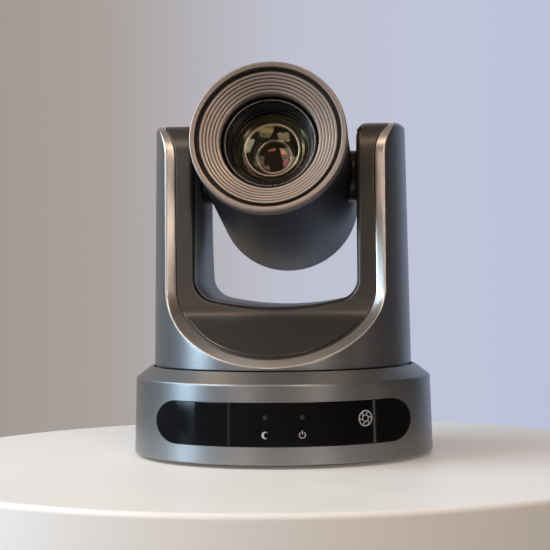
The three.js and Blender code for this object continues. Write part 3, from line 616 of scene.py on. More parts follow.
def build_marks():
    crescent = arc(STANDBY_X, SIGN_Z, 1.45, 55, 305, 30)
    crescent += list(reversed(arc(STANDBY_X + 0.75, SIGN_Z, 1.2, 78, 282, 30)))
    inlay("standby_sign", [crescent])
    ring = arc_band(POWER_X, SIGN_Z, 1.05, 1.4, 125, 415, 40)
    inlay("power_sign", [ring, bar(POWER_X, SIGN_Z + 0.25, POWER_X, SIGN_Z + 1.75, 0.36)])
    blades = [arc_band(APERTURE_X, APERTURE_Z, 2.75, 3.25, 0, 358, 64)]
    for k in range(6):
        turn = radians(60 * k)
        tip = turn + radians(78)
        blades.append(bar(
            APERTURE_X + 2.75 * cos(turn), APERTURE_Z + 2.75 * sin(turn),
            APERTURE_X + 1.25 * cos(tip), APERTURE_Z + 1.25 * sin(tip), 0.42))
    inlay("aperture_sign", blades)
    for name, x in (("standby_lens", STANDBY_X), ("power_lens", POWER_X)):
        dot = arc(x, LIGHT_Z, 0.95, 0, 352, 44)
        inlay(name, [dot], LIGHT_DARK)


# ------ yoke outlines
# Points on the yoke are (across, forward, height): forward is turned to -Y when they are placed.
def yoke_radius(z):
    """Radius of the drum, drawn in where the arms' top edge is rounded."""
    radius = YOKE_R - (z - YOKE_BOTTOM) * YOKE_TAPER
    above = min(max(z - (YOKE_TOP - SHOULDER_R), 0), SHOULDER_R)
    return radius - (SHOULDER_R - sqrt(SHOULDER_R ** 2 - above ** 2))


def front_face(z):
    below = BEND_Z - z
    return ARM_FACE + FRONT_SLOPE * (below + sqrt(below ** 2 + FRONT_BEND ** 2)) / 2


def rear_face(z):
    below = max(0.0, REAR_BEND_Z - z)
    return ARM_FACE + REAR_SWEEP_R - sqrt(REAR_SWEEP_R ** 2 - below ** 2)


# One side of the yoke: which way it looks, the half sizes of its band's outer and inner ellipse,
# the height of their middle, and the face of its cover.
Side = namedtuple("Side", "sign outer inner centre_z face")
FRONT = Side(-1, (46.0, 31.9), (41.9, 28.7), 71.4, front_face)
REAR = Side(1, (45.4, 44.3), (41.9, 41.0), 84.0, rear_face)
SIDE_KNEE_Z = 78.0


def stations():
    """Where the sections lie: ("curve", share), ("arm", share) or ("crest", angle)."""
    found = [("curve", share) for share in steps(CURVE_STEPS)]
    found += [("arm", share) for share in steps(STRAIGHT_STEPS)[1:]]
    found += [("crest", share * pi / 2) for share in steps(CREST_STEPS)[1:]]
    return found


def mouth_corner_drop(u):
    """How far the arm's inner top corner is rounded down, at a distance across from the middle."""
    corner = min(max(MOUTH_HALF + MOUTH_TOP_R - u, 0), MOUTH_TOP_R)
    return MOUTH_TOP_R - sqrt(MOUTH_TOP_R ** 2 - corner ** 2)


def crest_radius(u):
    return CREST_R - mouth_corner_drop(u)


def crest_point(u, angle):
    """Forward distance and height of a point on the crest."""
    return ARM_FACE - CREST_R + CREST_R * cos(angle), CREST_Z + crest_radius(u) * sin(angle)


def band_points(side, station):
    """The band's inner and outer point (across, forward, height) and its inward direction."""
    kind, value = station
    if kind == "curve":
        angle = radians(lerp(-90, 0, value))
        u_in, z_in = side.inner[0] * cos(angle), side.centre_z + side.inner[1] * sin(angle)
        u_out, z_out = side.outer[0] * cos(angle), side.centre_z + side.outer[1] * sin(angle)
        inward = (0, -1, 0)
    elif kind == "arm":
        z_in = z_out = lerp(side.centre_z, CREST_Z, value)
        u_in, u_out = side.inner[0], side.outer[0]
        inward = (0, -1, 0)
    else:
        forward, z_in = crest_point(60, value)
        z_out = z_in
        edge = sqrt(yoke_radius(z_in) ** 2 - forward ** 2)
        start = sqrt(yoke_radius(CREST_Z) ** 2 - ARM_FACE ** 2)
        share = sin(value) ** 2
        u_in = edge - (start - side.inner[0]) * lerp(1, 0.55, share)
        u_out = edge - (start - side.outer[0]) * (1 - share)
        inward = (0, -cos(value), -sin(value))
    if kind != "crest":
        forward = side.face(z_in)
    inner = (u_in, forward, z_in)
    outer = (u_out, sqrt(yoke_radius(z_out) ** 2 - u_out ** 2), z_out)
    return inner, outer, inward


def side_point(station):
    """Where a section ends on the drum: along its lower edge, then up the side: (turn, height)."""
    kind, value = station
    corner = 0.55
    if kind == "curve":
        if value <= corner:
            return pi / 2 * value / corner, YOKE_BOTTOM
        return pi / 2, lerp(YOKE_BOTTOM, SIDE_KNEE_Z, (value - corner) / (1 - corner))
    if kind == "arm":
        return pi / 2, lerp(SIDE_KNEE_Z, CREST_Z, value)
    return pi / 2, CREST_Z + CREST_R * sin(value)


def placed(point, side):
    u, forward, z = point
    return (u, side.sign * forward, z)


def along(point, way, distance):
    return tuple(p + w * distance for p, w in zip(point, way))


BAND_COLUMNS = 11                # columns of a section that lie on the pale band
CORNER_COLUMN = 14               # the column where the drum's side begins
EDGE_CUT = 1.0                   # how far the band's outer edge is rounded on each side


def drum_point(outer, station, share):
    """A point on the drum, on the way from the band's outer line to the section's end."""
    end_turn, end_z = side_point(station)
    turn = lerp(atan2(outer[0], outer[1]), end_turn, share)
    z = lerp(outer[2], end_z, share)
    return (yoke_radius(z) * sin(turn), yoke_radius(z) * cos(turn), z)


def shell_section(side, station):
    """From the foot of the cover's seam over the band and its rounded edge to the drum's side."""
    inner, outer, inward = band_points(side, station)
    across_band = Vector(inner) - Vector(outer)
    length = sum(dist(drum_point(outer, station, a), drum_point(outer, station, a + 0.1))
                 for a in steps(10)[:-1])
    kind, value = station
    fade = max(0.02, cos(value)) if kind == "crest" else 1.0
    cut = min(EDGE_CUT * fade, length * 0.45, across_band.length * 0.3)
    band_end = tuple(Vector(outer) + across_band.normalized() * cut)
    drum = [drum_point(outer, station, lerp(cut / length, 1, share)) for share in steps(18)]
    edge = quadratic(band_end, outer, drum[0], 7)
    lip = 0.35 * fade
    seam_foot = along(inner, inward, SEAM_DEPTH)
    seam_end = tuple(Vector(inner) - across_band.normalized() * lip)
    seam_edge = quadratic(along(inner, inward, lip), inner, seam_end, 3)
    band = [mix(seam_end, band_end, share) for share in steps(3)[1:-1]]
    return [placed(p, side) for p in [seam_foot] + seam_edge + band + edge + drum[1:]]


def arm_top(edge_row):
    """The flat top of an arm behind the crest, and the step down to the cover's seam."""
    inner_line = MOUTH_HALF + LINER_WALL + SEAM
    front = edge_row[CORNER_COLUMN:0:-1]
    seam_x, seam_y, seam_z = front[-1]
    front += [(lerp(seam_x, inner_line, share), seam_y, seam_z) for share in steps(10)[1:]]
    span = front[0][0] - inner_line
    rows = [front]
    for x, y, z in edge_row[CORNER_COLUMN + 1:]:
        rows.append([(lerp(inner_line, x, (px - inner_line) / span), y, pz) for px, py, pz in front])
    rows = [[(x, y, z - mouth_corner_drop(x)) for x, y, z in row] for row in rows]
    lip = rows[0][CORNER_COLUMN - 1:]
    foot = [(x, y, z - SEAM_DEPTH) for x, y, z in lip]
    return rows, [lip, foot]


def build_yoke_shell():
    patches = Patches()
    for side in (FRONT, REAR):
        rows = [shell_section(side, station) for station in stations()]
        patches.grid(rows, painted=BAND_COLUMNS)
        top, step = arm_top(rows[-1])
        patches.grid(top).grid(step)
    patches.mirrored()
    shell = patches.piece("yoke_casing", YOKE_FRAME, sharp=40)
    thicken(shell, 1.5)
    finish_piece(shell, GUNMETAL, "yoke", "yoke_shell")
    shell.data.materials.append(BAND_PAINT)


# ------ mouth between the arms
def mouth_point(station, grow):
    """A point (across, height) on the right half of the mouth's outline."""
    kind, value = station
    half = MOUTH_HALF + grow
    corner = MOUTH_CORNER_R + grow
    big = MOUTH_ARC_R + grow
    corner_x = half - corner
    centre_z = MOUTH_FLOOR - grow + big
    corner_z = centre_z - sqrt((big - corner) ** 2 - corner_x ** 2)
    lean = asin(corner_x / (big - corner))
    knee = 0.5
    if kind == "curve":
        if value <= knee:
            angle = -pi / 2 + lean * value / knee
            return big * cos(angle), centre_z + big * sin(angle)
        angle = lerp(-pi / 2 + lean, 0, (value - knee) / (1 - knee))
        return corner_x + corner * cos(angle), corner_z + corner * sin(angle)
    if kind == "arm":
        return half, lerp(corner_z, CREST_Z, value)
    return half, CREST_Z + crest_radius(half) * sin(value)


def cover_section(side, station, mouth_grow, nose, nose_depth, back):
    """From the seam foot over the cover's face to its rounded edge at the mouth."""
    inner, outer, inward = band_points(side, station)
    across_band = (Vector(outer) - Vector(inner)).normalized()
    lip = 0.3
    start = Vector(inner)
    mouth_u, mouth_z = mouth_point(station, mouth_grow)
    kind, value = station
    span = Vector((mouth_u - start.x, 0, mouth_z - start.z))
    seam = start + span.normalized() * SEAM
    length = span.length - SEAM

    def face_point(distance, sink=0.0):
        spot = seam + span.normalized() * distance
        if kind != "crest":
            return (spot.x, side.face(spot.z) - sink, spot.z)
        u = lerp(seam.x, mouth_u, distance / length)
        forward, z = crest_point(u, value)
        return (u, forward - sink * cos(value), z - sink * sin(value))

    rows = [along(face_point(0, lip), inward, SEAM_DEPTH - lip), face_point(0, lip)]
    rows += [face_point(0, lip * 0.35), face_point(lip * 0.35, 0.02), face_point(lip)]
    for share in steps(30)[1:]:
        rows.append(face_point(lerp(lip, length - nose, share)))
    for share in steps(8)[1:]:
        turn = share * pi / 2
        rows.append(face_point(length - nose + nose * sin(turn), nose_depth * (1 - cos(turn))))
    rows.append(face_point(length, back))
    return [placed(p, side) for p in rows]


def build_cover(name, side, paint, stands_for, **shape):
    rows = [cover_section(side, station, **shape) for station in stations()]
    cover = Patches().grid(rows).mirrored().piece(name, YOKE_FRAME, sharp=50)
    thicken(cover, 1.3)
    finish_piece(cover, paint, "yoke", stands_for)


def u_strip(name, paint, stands_for, grow, thick, front, back_of, round_r, sunk=0.0):
    """A lining of the mouth: a closed section swept round the U, its top ends sunk a little."""
    sections = []
    line = stations()
    for mirror in (-1, 1):
        part = list(reversed(line)) if mirror < 0 else line[1:]
        for station in part:
            inner_u, inner_z = mouth_point(station, grow)
            outer_u, outer_z = mouth_point(station, grow + thick)
            front_v = front
            back_v = back_of(inner_z)
            if station[0] == "crest":
                front_v = min(front, crest_point(inner_u, station[1])[0] - 0.3)
                back_v = max(back_v, -front_v)
                inner_z -= sunk * sin(station[1])
                outer_z -= sunk * sin(station[1])
            section = []
            loop = rounded([
                (0.5, back_v, 0), (0, back_v, round_r), (0, front_v, round_r), (1, front_v, round_r),
                (1, back_v, round_r), (0.5, back_v, 0),
            ], steps_each=3)[:-1]
            for share, v in loop:
                u, z = lerp(inner_u, outer_u, share), lerp(inner_z, outer_z, share)
                section.append((mirror * u, -v, z))
            sections.append(section)
    strip = loft(name, sections, YOKE_FRAME, sharp=40)
    return finish_piece(strip, paint, "yoke", stands_for)


def build_mouth():
    build_cover("yoke_front_cover_skin", FRONT, COVER_PAINT, "yoke_front_cover",
                mouth_grow=0.1, nose=1.9, nose_depth=2.6, back=4.2)
    build_cover("yoke_rear_cover_skin", REAR, GUNMETAL, "yoke_rear_cover",
                mouth_grow=LINER_WALL + SEAM, nose=0.6, nose_depth=0.6, back=2.5)
    liner = u_strip("mouth_lining", LINER_GREY, "yoke_mouth_liner", 0, LINER_WALL,
                    TRIM_BACK, lambda z: -(rear_face(z) - 0.6), 0.35)
    hole = [(0, -60), (AXLE_HOLE_R, -60), (AXLE_HOLE_R, 60), (0, 60)]
    cut_with(liner, lathe("hub_hole", hole, HUB_FRAMES["right"], 48))
    smooth(liner.data, 40)
    u_strip("mouth_trim", TRIM_BLACK, "yoke_mouth_trim", 0.45, 1.3,
            ARM_FACE - 2.9, lambda z: TRIM_BACK + 0.3, 0.2, sunk=1.2)


# ------ head
BARREL_FRONT = 47.7
BARREL_SEAM = -16.0
RING_FRONT = 53.1
RING_R = 32.1
RING_BACK = 48.0
CONE_R = (28.1, 20.3)            # the ribbed cone, outside and at its opening
CONE_AT = (51.5, 47.5)
RIBS = 6
TAIL_R = 53.6
TAIL_CORNER_R = 11.0
BARREL_WALL = 2.2
HUB_R = 11.1
HUB_STARTS = 24.0
HUB_FACE = 33.3
AXLE_R = 5.4
AXLE_END = 47.4
BEZEL_FOOT = 44.4                # where the lens ring starts, behind the cone
BEZEL_BORE_R = 28.9
GLASS_EDGE = 1.2                 # thickness of a lens element at its edge


def barrel_radius(forward):
    return lerp(31.8, 31.1, (BARREL_FRONT - forward) / (BARREL_FRONT + 42))


def tail_profile():
    """The rear of the barrel: straight side, rounded corner and domed end."""
    side = barrel_radius(-38)
    centre_r = side - TAIL_CORNER_R
    centre_l = -sqrt((TAIL_R - TAIL_CORNER_R) ** 2 - centre_r ** 2)
    end = atan2(centre_l, centre_r)
    points = []
    for share in steps(14):
        angle = end * share
        r = centre_r + TAIL_CORNER_R * cos(angle)
        points.append((r, centre_l + TAIL_CORNER_R * sin(angle)))
    for share in steps(16)[1:]:
        angle = lerp(end, -pi / 2, share)
        points.append((max(0.0, TAIL_R * cos(angle)), TAIL_R * sin(angle)))
    points[-1] = (0, -TAIL_R)
    return points


def build_barrel():
    seam_r = barrel_radius(BARREL_SEAM)
    front_r = barrel_radius(BARREL_FRONT)
    lip = BARREL_SEAM + 0.06
    front = rounded([
        (seam_r - BARREL_WALL, lip, 0), (seam_r, lip, 0.05), (front_r, BARREL_FRONT, 0.35),
        (front_r - BARREL_WALL, BARREL_FRONT, 0.2), (seam_r - BARREL_WALL, lip, 0),
    ])
    finish_piece(lathe("barrel_front", front), BARREL_BLACK, "head", "head_shell")
    tail = rounded([
        (seam_r - BARREL_WALL, BARREL_SEAM, 0), (seam_r, BARREL_SEAM, 0.05), (barrel_radius(-30), -30, 0),
    ])
    outside = tail_profile()
    inside = [(max(0.0, r - BARREL_WALL), l + BARREL_WALL * 0.6) for r, l in reversed(outside)]
    inside[0] = (0, -TAIL_R + BARREL_WALL)
    rear = lathe("barrel_tail", tail + outside + inside)
    finish_piece(rear, BARREL_BLACK, "head", "head_rear_cap")


def build_lens_ring():
    """The bronze ring: a rim, a channel painted dark brown as the shade in its groove, and a cone of fine terraces
    down to the lens.
    """
    profile = [(BEZEL_BORE_R, BEZEL_FOOT, 0), (BEZEL_BORE_R, RING_BACK, 0.1)]
    profile += [(RING_R, RING_BACK, 0.25), (RING_R, RING_FRONT, 0.6)]
    profile += [(29.9, RING_FRONT - 0.3, 0.25), (29.75, 49.6, 0.1), (CONE_R[0] + 0.15, 49.6, 0.1)]
    pitch_r = (CONE_R[0] - CONE_R[1]) / RIBS
    pitch_l = (CONE_AT[0] - CONE_AT[1]) / RIBS
    for k in range(RIBS):
        r = CONE_R[0] - k * pitch_r
        l = CONE_AT[0] - k * pitch_l
        land = pitch_r * 0.76
        profile += [(r, l, 0.10), (r - land, l - pitch_l * 0.3, 0.10)]
        foot = l - pitch_l - 0.5
        profile += [(r - land - 0.05, foot, 0.05), (r - pitch_r + 0.04, foot, 0.05)]
    profile += [(CONE_R[1] - 0.05, CONE_AT[1] - 0.5, 0.1), (20.0, BEZEL_FOOT, 0.1), profile[0]]
    ring = lathe("lens_ring", rounded(profile, steps_each=3), around=240, sharp=40)
    finish_piece(ring, RING_PAINT, "head", "front_bezel")
    # The channel ring's dark brown is painted shade in the groove behind the rim.
    ring_piece("rim_channel", [
        (28.3, 49.5, 0), (28.3, 50.9, 0.1), (28.75, 50.2, 0.2), (29.2, 50.2, 0.2), (29.68, 51.6, 0.1),
        (29.7, 49.5, 0),
    ], CHANNEL_PAINTED_SHADE, around=240)


def build_hubs():
    hub = rounded([
        (0, HUB_STARTS, 0), (HUB_R, HUB_STARTS, 0.3), (HUB_R, HUB_FACE, 0.6), (AXLE_R, HUB_FACE, 0.2),
        (AXLE_R, AXLE_END, 0.5), (0, AXLE_END, 0),
    ])
    for side, place in HUB_FRAMES.items():
        finish_piece(lathe(f"hub_{side}", hub, place, 96), SATIN_BLACK, "head", f"tilt_hub_{side}")


def ring_piece(name, corners, paint, body="head", stands_for=None, around=144):
    """A turned ring about the lens axis: its closed outline as (radius, forward, rounding) corners."""
    made = lathe(name, rounded(corners + corners[:1], steps_each=4), around=around, sharp=45)
    finish_piece(made, paint, body, stands_for)


def glass_face(radius, middle, bulge):
    """A spherical face from its edge to its middle, bulging along the lens axis."""
    sphere = (radius ** 2 + bulge ** 2) / (2 * abs(bulge))
    points = []
    for share in steps(14):
        r = radius * (1 - share)
        height = sqrt(sphere ** 2 - r ** 2) - (sphere - abs(bulge))
        points.append((r, middle + copysign(height, bulge)))
    return points


def lens_element(name, radius, middle, bulges, paint, body="head", stands_for=None):
    """A glass element with two spherical faces, which bulge forward by front and back amounts."""
    front = glass_face(radius, middle + GLASS_EDGE / 2, bulges[0])
    back = glass_face(radius, middle - GLASS_EDGE / 2, bulges[1])
    made = lathe(name, list(reversed(back)) + front, around=96, sharp=60)
    finish_piece(made, paint, body, stands_for)


def build_lens():
    ring_piece("lens_mount_ring", [
        (16.6, 36.6, 0), (19.5, 36.6, 0.1), (19.5, 44.0, 0.25), (19.1, 44.4, 0.2), (18.6, 44.4, 0.1),
        (18.3, 43.8, 0.1), (17.9, 42.4, 0.1), (17.6, 42.2, 0.1), (17.4, 41.3, 0.1), (17.0, 41.1, 0.1),
        (16.8, 40.2, 0.1), (16.4, 40.0, 0.1), (16.2, 38.6, 0.1), (16.6, 38.4, 0.1),
    ], LENS_BLACK, stands_for="lens_front_ring")
    ring_piece("lens_bright_ring", [
        (18.35, 43.9, 0), (18.62, 43.9, 0.05), (18.62, 44.6, 0.1), (18.35, 44.6, 0.1),
    ], RIM_METAL)
    ring_piece("front_element_ring", [
        (15.2, 38.9, 0), (16.3, 38.9, 0.1), (16.05, 39.6, 0.12), (15.5, 39.7, 0.1),
    ], LENS_BLACK)
    lens_element("front_element", 15.4, 37.9, (4.6, -0.6), FRONT_GLASS, stands_for="front_lens")
    ring_piece("retaining_cone", [
        (15.3, 36.0, 0), (15.3, 37.1, 0.1), (13.7, 35.9, 0.2), (13.5, 35.6, 0.1), (12.5, 35.1, 0.2),
        (12.3, 34.8, 0.1), (11.7, 34.7, 0.1), (11.6, 34.45, 0.1), (15.3, 34.45, 0.1),
    ], CONE_BLACK)
    ring_piece("gold_ring", [
        (10.75, 34.5, 0), (11.55, 34.5, 0.1), (11.85, 35.3, 0.2), (11.3, 35.9, 0.25), (10.75, 35.4, 0.2),
    ], LENS_METAL)
    lens_element("second_element", 10.7, 35.2, (0.7, -0.2), INNER_GLASS)


def build_zoom_cell():
    """What moves along the lens when it zooms, as far as it shows through the front glass."""
    ring_piece("zoom_cell", [
        (8.6, 22.1, 0), (9.6, 23.5, 0.3), (9.4, 26.1, 0.2), (8.6, 27.3, 0.3), (8.2, 26.5, 0.1),
    ], CONE_BLACK, "zoom_group")
    ring_piece("zoom_cell_rim", [
        (6.4, 26.3, 0), (8.2, 26.3, 0.1), (8.3, 27.1, 0.3), (7.2, 27.6, 0.5), (6.5, 27.0, 0.2),
    ], PALE_METAL, "zoom_group")
    ring_piece("zoom_pupil", [
        (4.4, 26.0, 0), (6.4, 26.4, 0.1), (6.4, 26.7, 0.1), (4.6, 26.4, 0.1),
    ], LENS_BLACK, "zoom_group")
    lens_element("zoom_element", 6.3, 26.1, (0.9, -0.4), DEEP_GLASS, "zoom_group")


# ------ feet, screws and the back panel
SCREW_AT = [(42.1, -35.4), (-42.1, -35.4), (51.7, 18.8), (-51.7, 18.8)]


def standing(x, y, z=0.0):
    return Matrix.Translation(Vector((x, y, z)) * MM)


def facing_back(x, z, face):
    """A frame whose Z axis points out of the back panel."""
    return axes_matrix(Vector((-1, 0, 0)), UP, Vector((0, 1, 0)), Vector((x, face, z)) * MM)


def build_feet():
    """Round rubber feet with a raised tread of rings."""
    for k in range(1, 5):
        node_name = f"rubber_foot_{k}"
        low, high = box_mm(node_name)
        radius = (high.x - low.x) / 2
        corners = [(0, high.z, 0), (radius, high.z, 0.2), (radius, 0.35, 0.5), (radius - 0.5, 0, 0.2)]
        for ring in range(3):
            outer = radius - 1.2 - ring * 1.6
            corners += [(outer, 0, 0.1), (outer - 0.1, 0.3, 0.1)]
            corners += [(outer - 0.6, 0.3, 0.1), (outer - 0.7, 0, 0.1)]
        corners.append((0, 0, 0))
        place = standing((low.x + high.x) / 2, (low.y + high.y) / 2)
        foot = lathe(f"foot_{k}", rounded(corners, 3), place, 64)
        finish_piece(foot, RUBBER, "base", node_name)


def screw(name, place, head_r, head_h, deep):
    """A pan-head screw with a cross recess. Its head looks along the place's Z axis."""
    profile = [(0, head_h, 0), (head_r * 0.6, head_h, 0.6), (head_r, head_h * 0.45, 0.3), (head_r, 0, 0.1)]
    profile += [(head_r * 0.5, 0, 0.1), (head_r * 0.5, -deep, 0.2), (0, -deep, 0)]
    made = lathe(name, rounded(profile, 4), WORLD_FRAME, 48)
    arm, half = head_r * 0.52, head_r * 0.11
    for long_x, long_y in ((arm, half), (half, arm)):
        section = [(-long_x, -long_y), (long_x, -long_y), (long_x, long_y), (-long_x, long_y)]
        levels = [(1.0, head_h + 1), (0.75, head_h * 0.25)]
        cut_with(made, loft("recess", [[(x * s, y * s, z) for x, y in section] for s, z in levels]))
    made.data.transform(place)
    smooth(made.data, 35)
    finish_piece(made, STEEL, "base")


def build_screws():
    for k, (x, y) in enumerate(SCREW_AT, 1):
        flipped = standing(x, y, 2.25) @ Matrix.Rotation(pi, 4, "X")
        screw(f"base_screw_{k}", flipped, 2.7, 1.0, deep=5.0)
    face = PANEL_HIGH.y
    for k, (x, z) in enumerate([(-27.3, 30.0), (27.3, 30.0), (-27.3, 6.9), (27.3, 6.9)], 1):
        screw(f"panel_screw_{k}", facing_back(x, z, face - 0.25), 1.25, 0.5, deep=1.5)


def rounded_block(name, x, y, z, paint, width):
    """A block with rounded edges, between two values on each axis."""
    block = solid_box(name, x, y, z)
    bevel(block, width, segments=2)
    finish_piece(block, paint, "base")


def contact_row(name, socket, count, pitch, half_width, y, z, round_r):
    """Gilded contacts side by side; y and z are ranges in millimetres."""
    low, high = box_mm(socket)
    for k in range(count):
        x = (low.x + high.x) / 2 + (k - (count - 1) / 2) * pitch
        place = (x - half_width, x + half_width)
        rounded_block(f"{name}_{k + 1}", place, y, z, GOLD, round_r)


def build_socket_details():
    """Contacts in the network, USB and video sockets, and the network socket's two lamps."""
    low, high = box_mm("lan_socket")
    contact_row("lan_contact", "lan_socket", 8, 1.02, 0.17, (high.y - 9.5, high.y - 2.2),
                (high.z - 2.6, high.z - 2.25), 0.06)
    for k, (side, paint) in enumerate(((-1, LED_GREEN), (1, LED_AMBER)), 1):
        x = (low.x + high.x) / 2 + side * 4.4
        rounded_block(f"lan_lamp_{k}", (x - 0.9, x + 0.9), (high.y - 0.6, high.y + 0.12),
                      (low.z + 0.45, low.z + 1.45), paint, 0.15)
    low, high = box_mm("usb_socket")
    middle = (low.z + high.z) / 2
    contact_row("usb_contact", "usb_socket", 4, 1.15, 0.3, (high.y - 7.5, high.y - 1.3),
                (middle + 1.66, middle + 1.86), 0.06)
    low, high = box_mm("hdmi_socket")
    middle = (low.z + high.z) / 2
    contact_row("video_contact", "hdmi_socket", 9, 1.0, 0.18, (high.y - 7.5, high.y - 1.4),
                (middle + 0.66, middle + 0.8), 0.05)


def panel_mark(name, x, z, outlines):
    """A thin print on the back panel: outlines of (x, z) points about a middle."""
    patches = Patches()
    for outline in outlines:
        patches.plate([[(x - a, PANEL_HIGH.y + level, z + b) for a, b in outline] for level in (0.03, -0.1)])
    finish_piece(patches.piece(name), MARK_GREY, "base")


def build_panel_marks():
    """Plain signs over the sockets, in two rows."""
    top = PANEL_HIGH.z - 1.3
    row = 19.2
    arrow = [(-1.2, -0.12), (0.2, -0.12), (0.2, -0.55), (1.2, 0), (0.2, 0.55), (0.2, 0.12), (-1.2, 0.12)]
    panel_mark("mark_in", -22.5, top - 0.1, [[(-a, b) for a, b in reversed(arrow)]])
    panel_mark("mark_out", -8.0, top - 0.1, [arrow])
    disc = arc_band(0, 0, 0.45, 0.7, 0, 358, 30)
    panel_mark("mark_video", 9.5, top - 1.6, [disc, bar(-1.6, -0.95, 1.6, -0.95, 0.2)])
    waves = [arc_band(0, -0.2, 0.55, 0.8, 20, 160, 16), arc_band(0, -0.2, 1.0, 1.25, 20, 160, 20)]
    panel_mark("mark_audio", 24.0, top - 0.2, waves)
    plug = arc_band(0, 0, 0.7, 0.95, 40, 320, 30)
    panel_mark("mark_power_in", -11.5, row, [plug, bar(-0.5, 0, 0.2, 0, 0.22)])
    fork = [bar(-1.4, 0, 1.4, 0, 0.2), bar(0, 0, 0, 0.8, 0.2)]
    fork += [bar(-1.3, 0, -1.3, -0.7, 0.2), bar(1.3, 0, 1.3, -0.7, 0.2)]
    panel_mark("mark_network", 1.5, row + 0.3, fork)
    bus = [bar(-1.5, 0, 1.5, 0, 0.2), bar(-0.4, 0, 0.5, 0.7, 0.2), arc(1.5, 0, 0.35, 0, 350, 20)]
    panel_mark("mark_serial_bus", 18.0, row, bus)


def build_rocker():
    """The power switch: the CAD rocker with its edges rounded."""
    mesh = frame["nodes"]["power_switch"].data.copy()
    mesh.materials.clear()
    rocker = add_object("power_rocker_pad", mesh)
    weld(mesh)
    bevel(rocker, 0.25, angle=15)
    finish_piece(rocker, SATIN_BLACK, "rocker", "power_switch")


# ------ stage, light and camera
FLOOR_R = 163.0
FLOOR_CENTRE_Y = -16.0
FLOOR_THICK = 26.0
LIGHT_DISTANCE = 1.2             # metres, from the point that the lights aim at
LIGHT_AIM_Z = 0.08


def build_stage():
    top = rounded([
        (0, 0, 0), (FLOOR_R, 0, 2.2), (FLOOR_R + 0.4, -FLOOR_THICK, 3.0), (0, -FLOOR_THICK, 0),
    ], steps_each=8)
    place = Matrix.Translation((0, FLOOR_CENTRE_Y * MM, 0))
    table = lathe("round_table", top, place, around=256)
    table.data.materials.append(WHITE_TABLE)


def area_light(name, azimuth, elevation, width, height, power, color):
    """A soft panel that faces the object. Azimuth 0 is the camera's side and 90 is to the right."""
    light = bpy.data.lights.new(name, "AREA")
    light.shape = "RECTANGLE"
    light.size, light.size_y = width, height
    light.energy = power
    light.color = color
    lamp = add_object(name, light)
    a, e = radians(azimuth), radians(elevation)
    way = Vector((sin(a) * cos(e), -cos(a) * cos(e), sin(e)))
    lamp.location = way * LIGHT_DISTANCE + Vector((0, 0, LIGHT_AIM_Z))
    lamp.rotation_euler = way.to_track_quat("Z", "Y").to_euler()
    lamp.visible_camera = False


DAYLIGHT = (0.98, 0.97, 0.99)
SKYLIGHT = (0.55, 0.8, 1.0)
WALL_LIGHT = (1.0, 0.88, 0.8)
LAMP_LIGHT = (1.0, 0.81, 0.62)
AMBER_LIGHT = (1.0, 0.7, 0.35)


def build_lights():
    """A daylight window on the left and warm room light from the front and the ceiling."""
    area_light("window_near", -60, 32, 0.45, 0.45, 4.8, DAYLIGHT)
    area_light("window_far", -97, 32, 0.6, 0.45, 5.4, SKYLIGHT)
    area_light("window_top", -80, 50, 0.4, 0.3, 2.0, DAYLIGHT)
    area_light("window_sill", -78, 4, 0.35, 0.35, 4.2, SKYLIGHT)
    area_light("room_right", 28, 8, 0.3, 0.3, 0.9, WALL_LIGHT)
    area_light("room_lamp", 15, 48, 0.35, 0.35, 2.0, LAMP_LIGHT)
    area_light("room_front", 15, 20, 0.3, 0.4, 1.45, WALL_LIGHT)
    area_light("ceiling_left", -28, 55, 0.4, 0.35, 1.3, LAMP_LIGHT)
    area_light("room_left", -30, 8, 0.35, 0.35, 1.0, WALL_LIGHT)
    area_light("ceiling_right", 75, 72, 0.5, 0.4, 0.65, LAMP_LIGHT)
    area_light("slim_lamp", 71, 6, 0.03, 0.6, 0.08, DAYLIGHT)
    area_light("door_gap", -41, 4, 0.04, 0.5, 0.025, DAYLIGHT)
    area_light("ceiling_back", -120, 60, 0.4, 0.4, 0.6, AMBER_LIGHT)


def ramp(tree, source, stops):
    made = tree.nodes.new("ShaderNodeValToRGB")
    points = made.color_ramp.elements
    points[0].position, points[0].color = stops[0][0], (*stops[0][1], 1)
    points[1].position, points[1].color = stops[-1][0], (*stops[-1][1], 1)
    for position, color in stops[1:-1]:
        points.new(position).color = (*color, 1)
    tree.links.new(source, made.inputs["Fac"])
    return made.outputs["Color"]


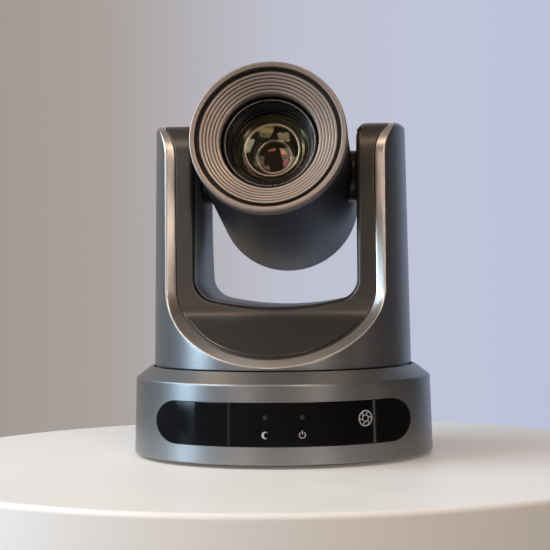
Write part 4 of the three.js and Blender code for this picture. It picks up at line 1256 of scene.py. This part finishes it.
def build_world():
    """A soft room: a wall that runs from warm grey to pale blue behind, and a dim warm room in front."""
    world = bpy.data.worlds.new("room")
    bpy.context.scene.world = world
    world.use_nodes = True
    tree = world.node_tree
    link = tree.links.new
    background = tree.nodes["Background"]
    place = node(tree, "ShaderNodeTexCoord")
    split = node(tree, "ShaderNodeSeparateXYZ")
    link(place.outputs["Generated"], split.inputs["Vector"])

    def spread(output, low, high):
        made = node(tree, "ShaderNodeMapRange", interpolation_type="SMOOTHSTEP", From_Min=low, From_Max=high)
        link(output, made.inputs["Value"])
        return made.outputs["Result"]

    across = spread(split.outputs["X"], -0.30, 0.30)
    wall = ramp(tree, across, [
        (0.0, (0.33, 0.29, 0.26)), (0.25, (0.40, 0.36, 0.335)), (0.5, (0.52, 0.53, 0.62)),
        (0.75, (0.53, 0.56, 0.70)), (1.0, (0.44, 0.52, 0.68)),
    ])
    room = ramp(tree, spread(split.outputs["X"], -1.0, 1.0), [
        (0.0, (0.10, 0.11, 0.13)), (0.35, (0.09, 0.08, 0.075)), (0.6, (0.07, 0.06, 0.05)),
        (1.0, (0.03, 0.03, 0.035)),
    ])
    merge = node(tree, "ShaderNodeMix", data_type="RGBA")
    link(spread(split.outputs["Y"], 0.5, 0.92), merge.inputs["Factor"])
    link(room, merge.inputs["A"])
    link(wall, merge.inputs["B"])
    link(merge.outputs["Result"], background.inputs["Color"])
    background.inputs["Strength"].default_value = 1.0


CAMERA_AT = (0.0005, -0.7154, 0.0811)
CAMERA_YAW = -0.005
CAMERA_PITCH = 0.0064            # downwards
CAMERA_ROLL = -0.0107
LENS_MM = 108.1


def build_camera():
    data = bpy.data.cameras.new("camera")
    data.sensor_width = 36
    data.lens = LENS_MM
    data.clip_start, data.clip_end = 0.05, 20
    camera = add_object("camera", data)
    place = Matrix.Translation(CAMERA_AT)
    for angle, axis in ((-CAMERA_YAW, "Z"), (pi / 2 - CAMERA_PITCH, "X"), (CAMERA_ROLL, "Z")):
        place = place @ Matrix.Rotation(angle, 4, axis)
    camera.matrix_world = place
    bpy.context.scene.camera = camera


# ------ assembly
dress_cad_nodes()
build_camera()
build_lights()
build_world()
build_stage()
build_base_shell()
build_window()
build_marks()
build_yoke_shell()
build_mouth()
build_barrel()
build_lens_ring()
build_hubs()
build_lens()
build_zoom_cell()
build_feet()
build_screws()
build_socket_details()
build_panel_marks()
build_rocker()

bpy.context.scene.view_settings.view_transform = "Standard"
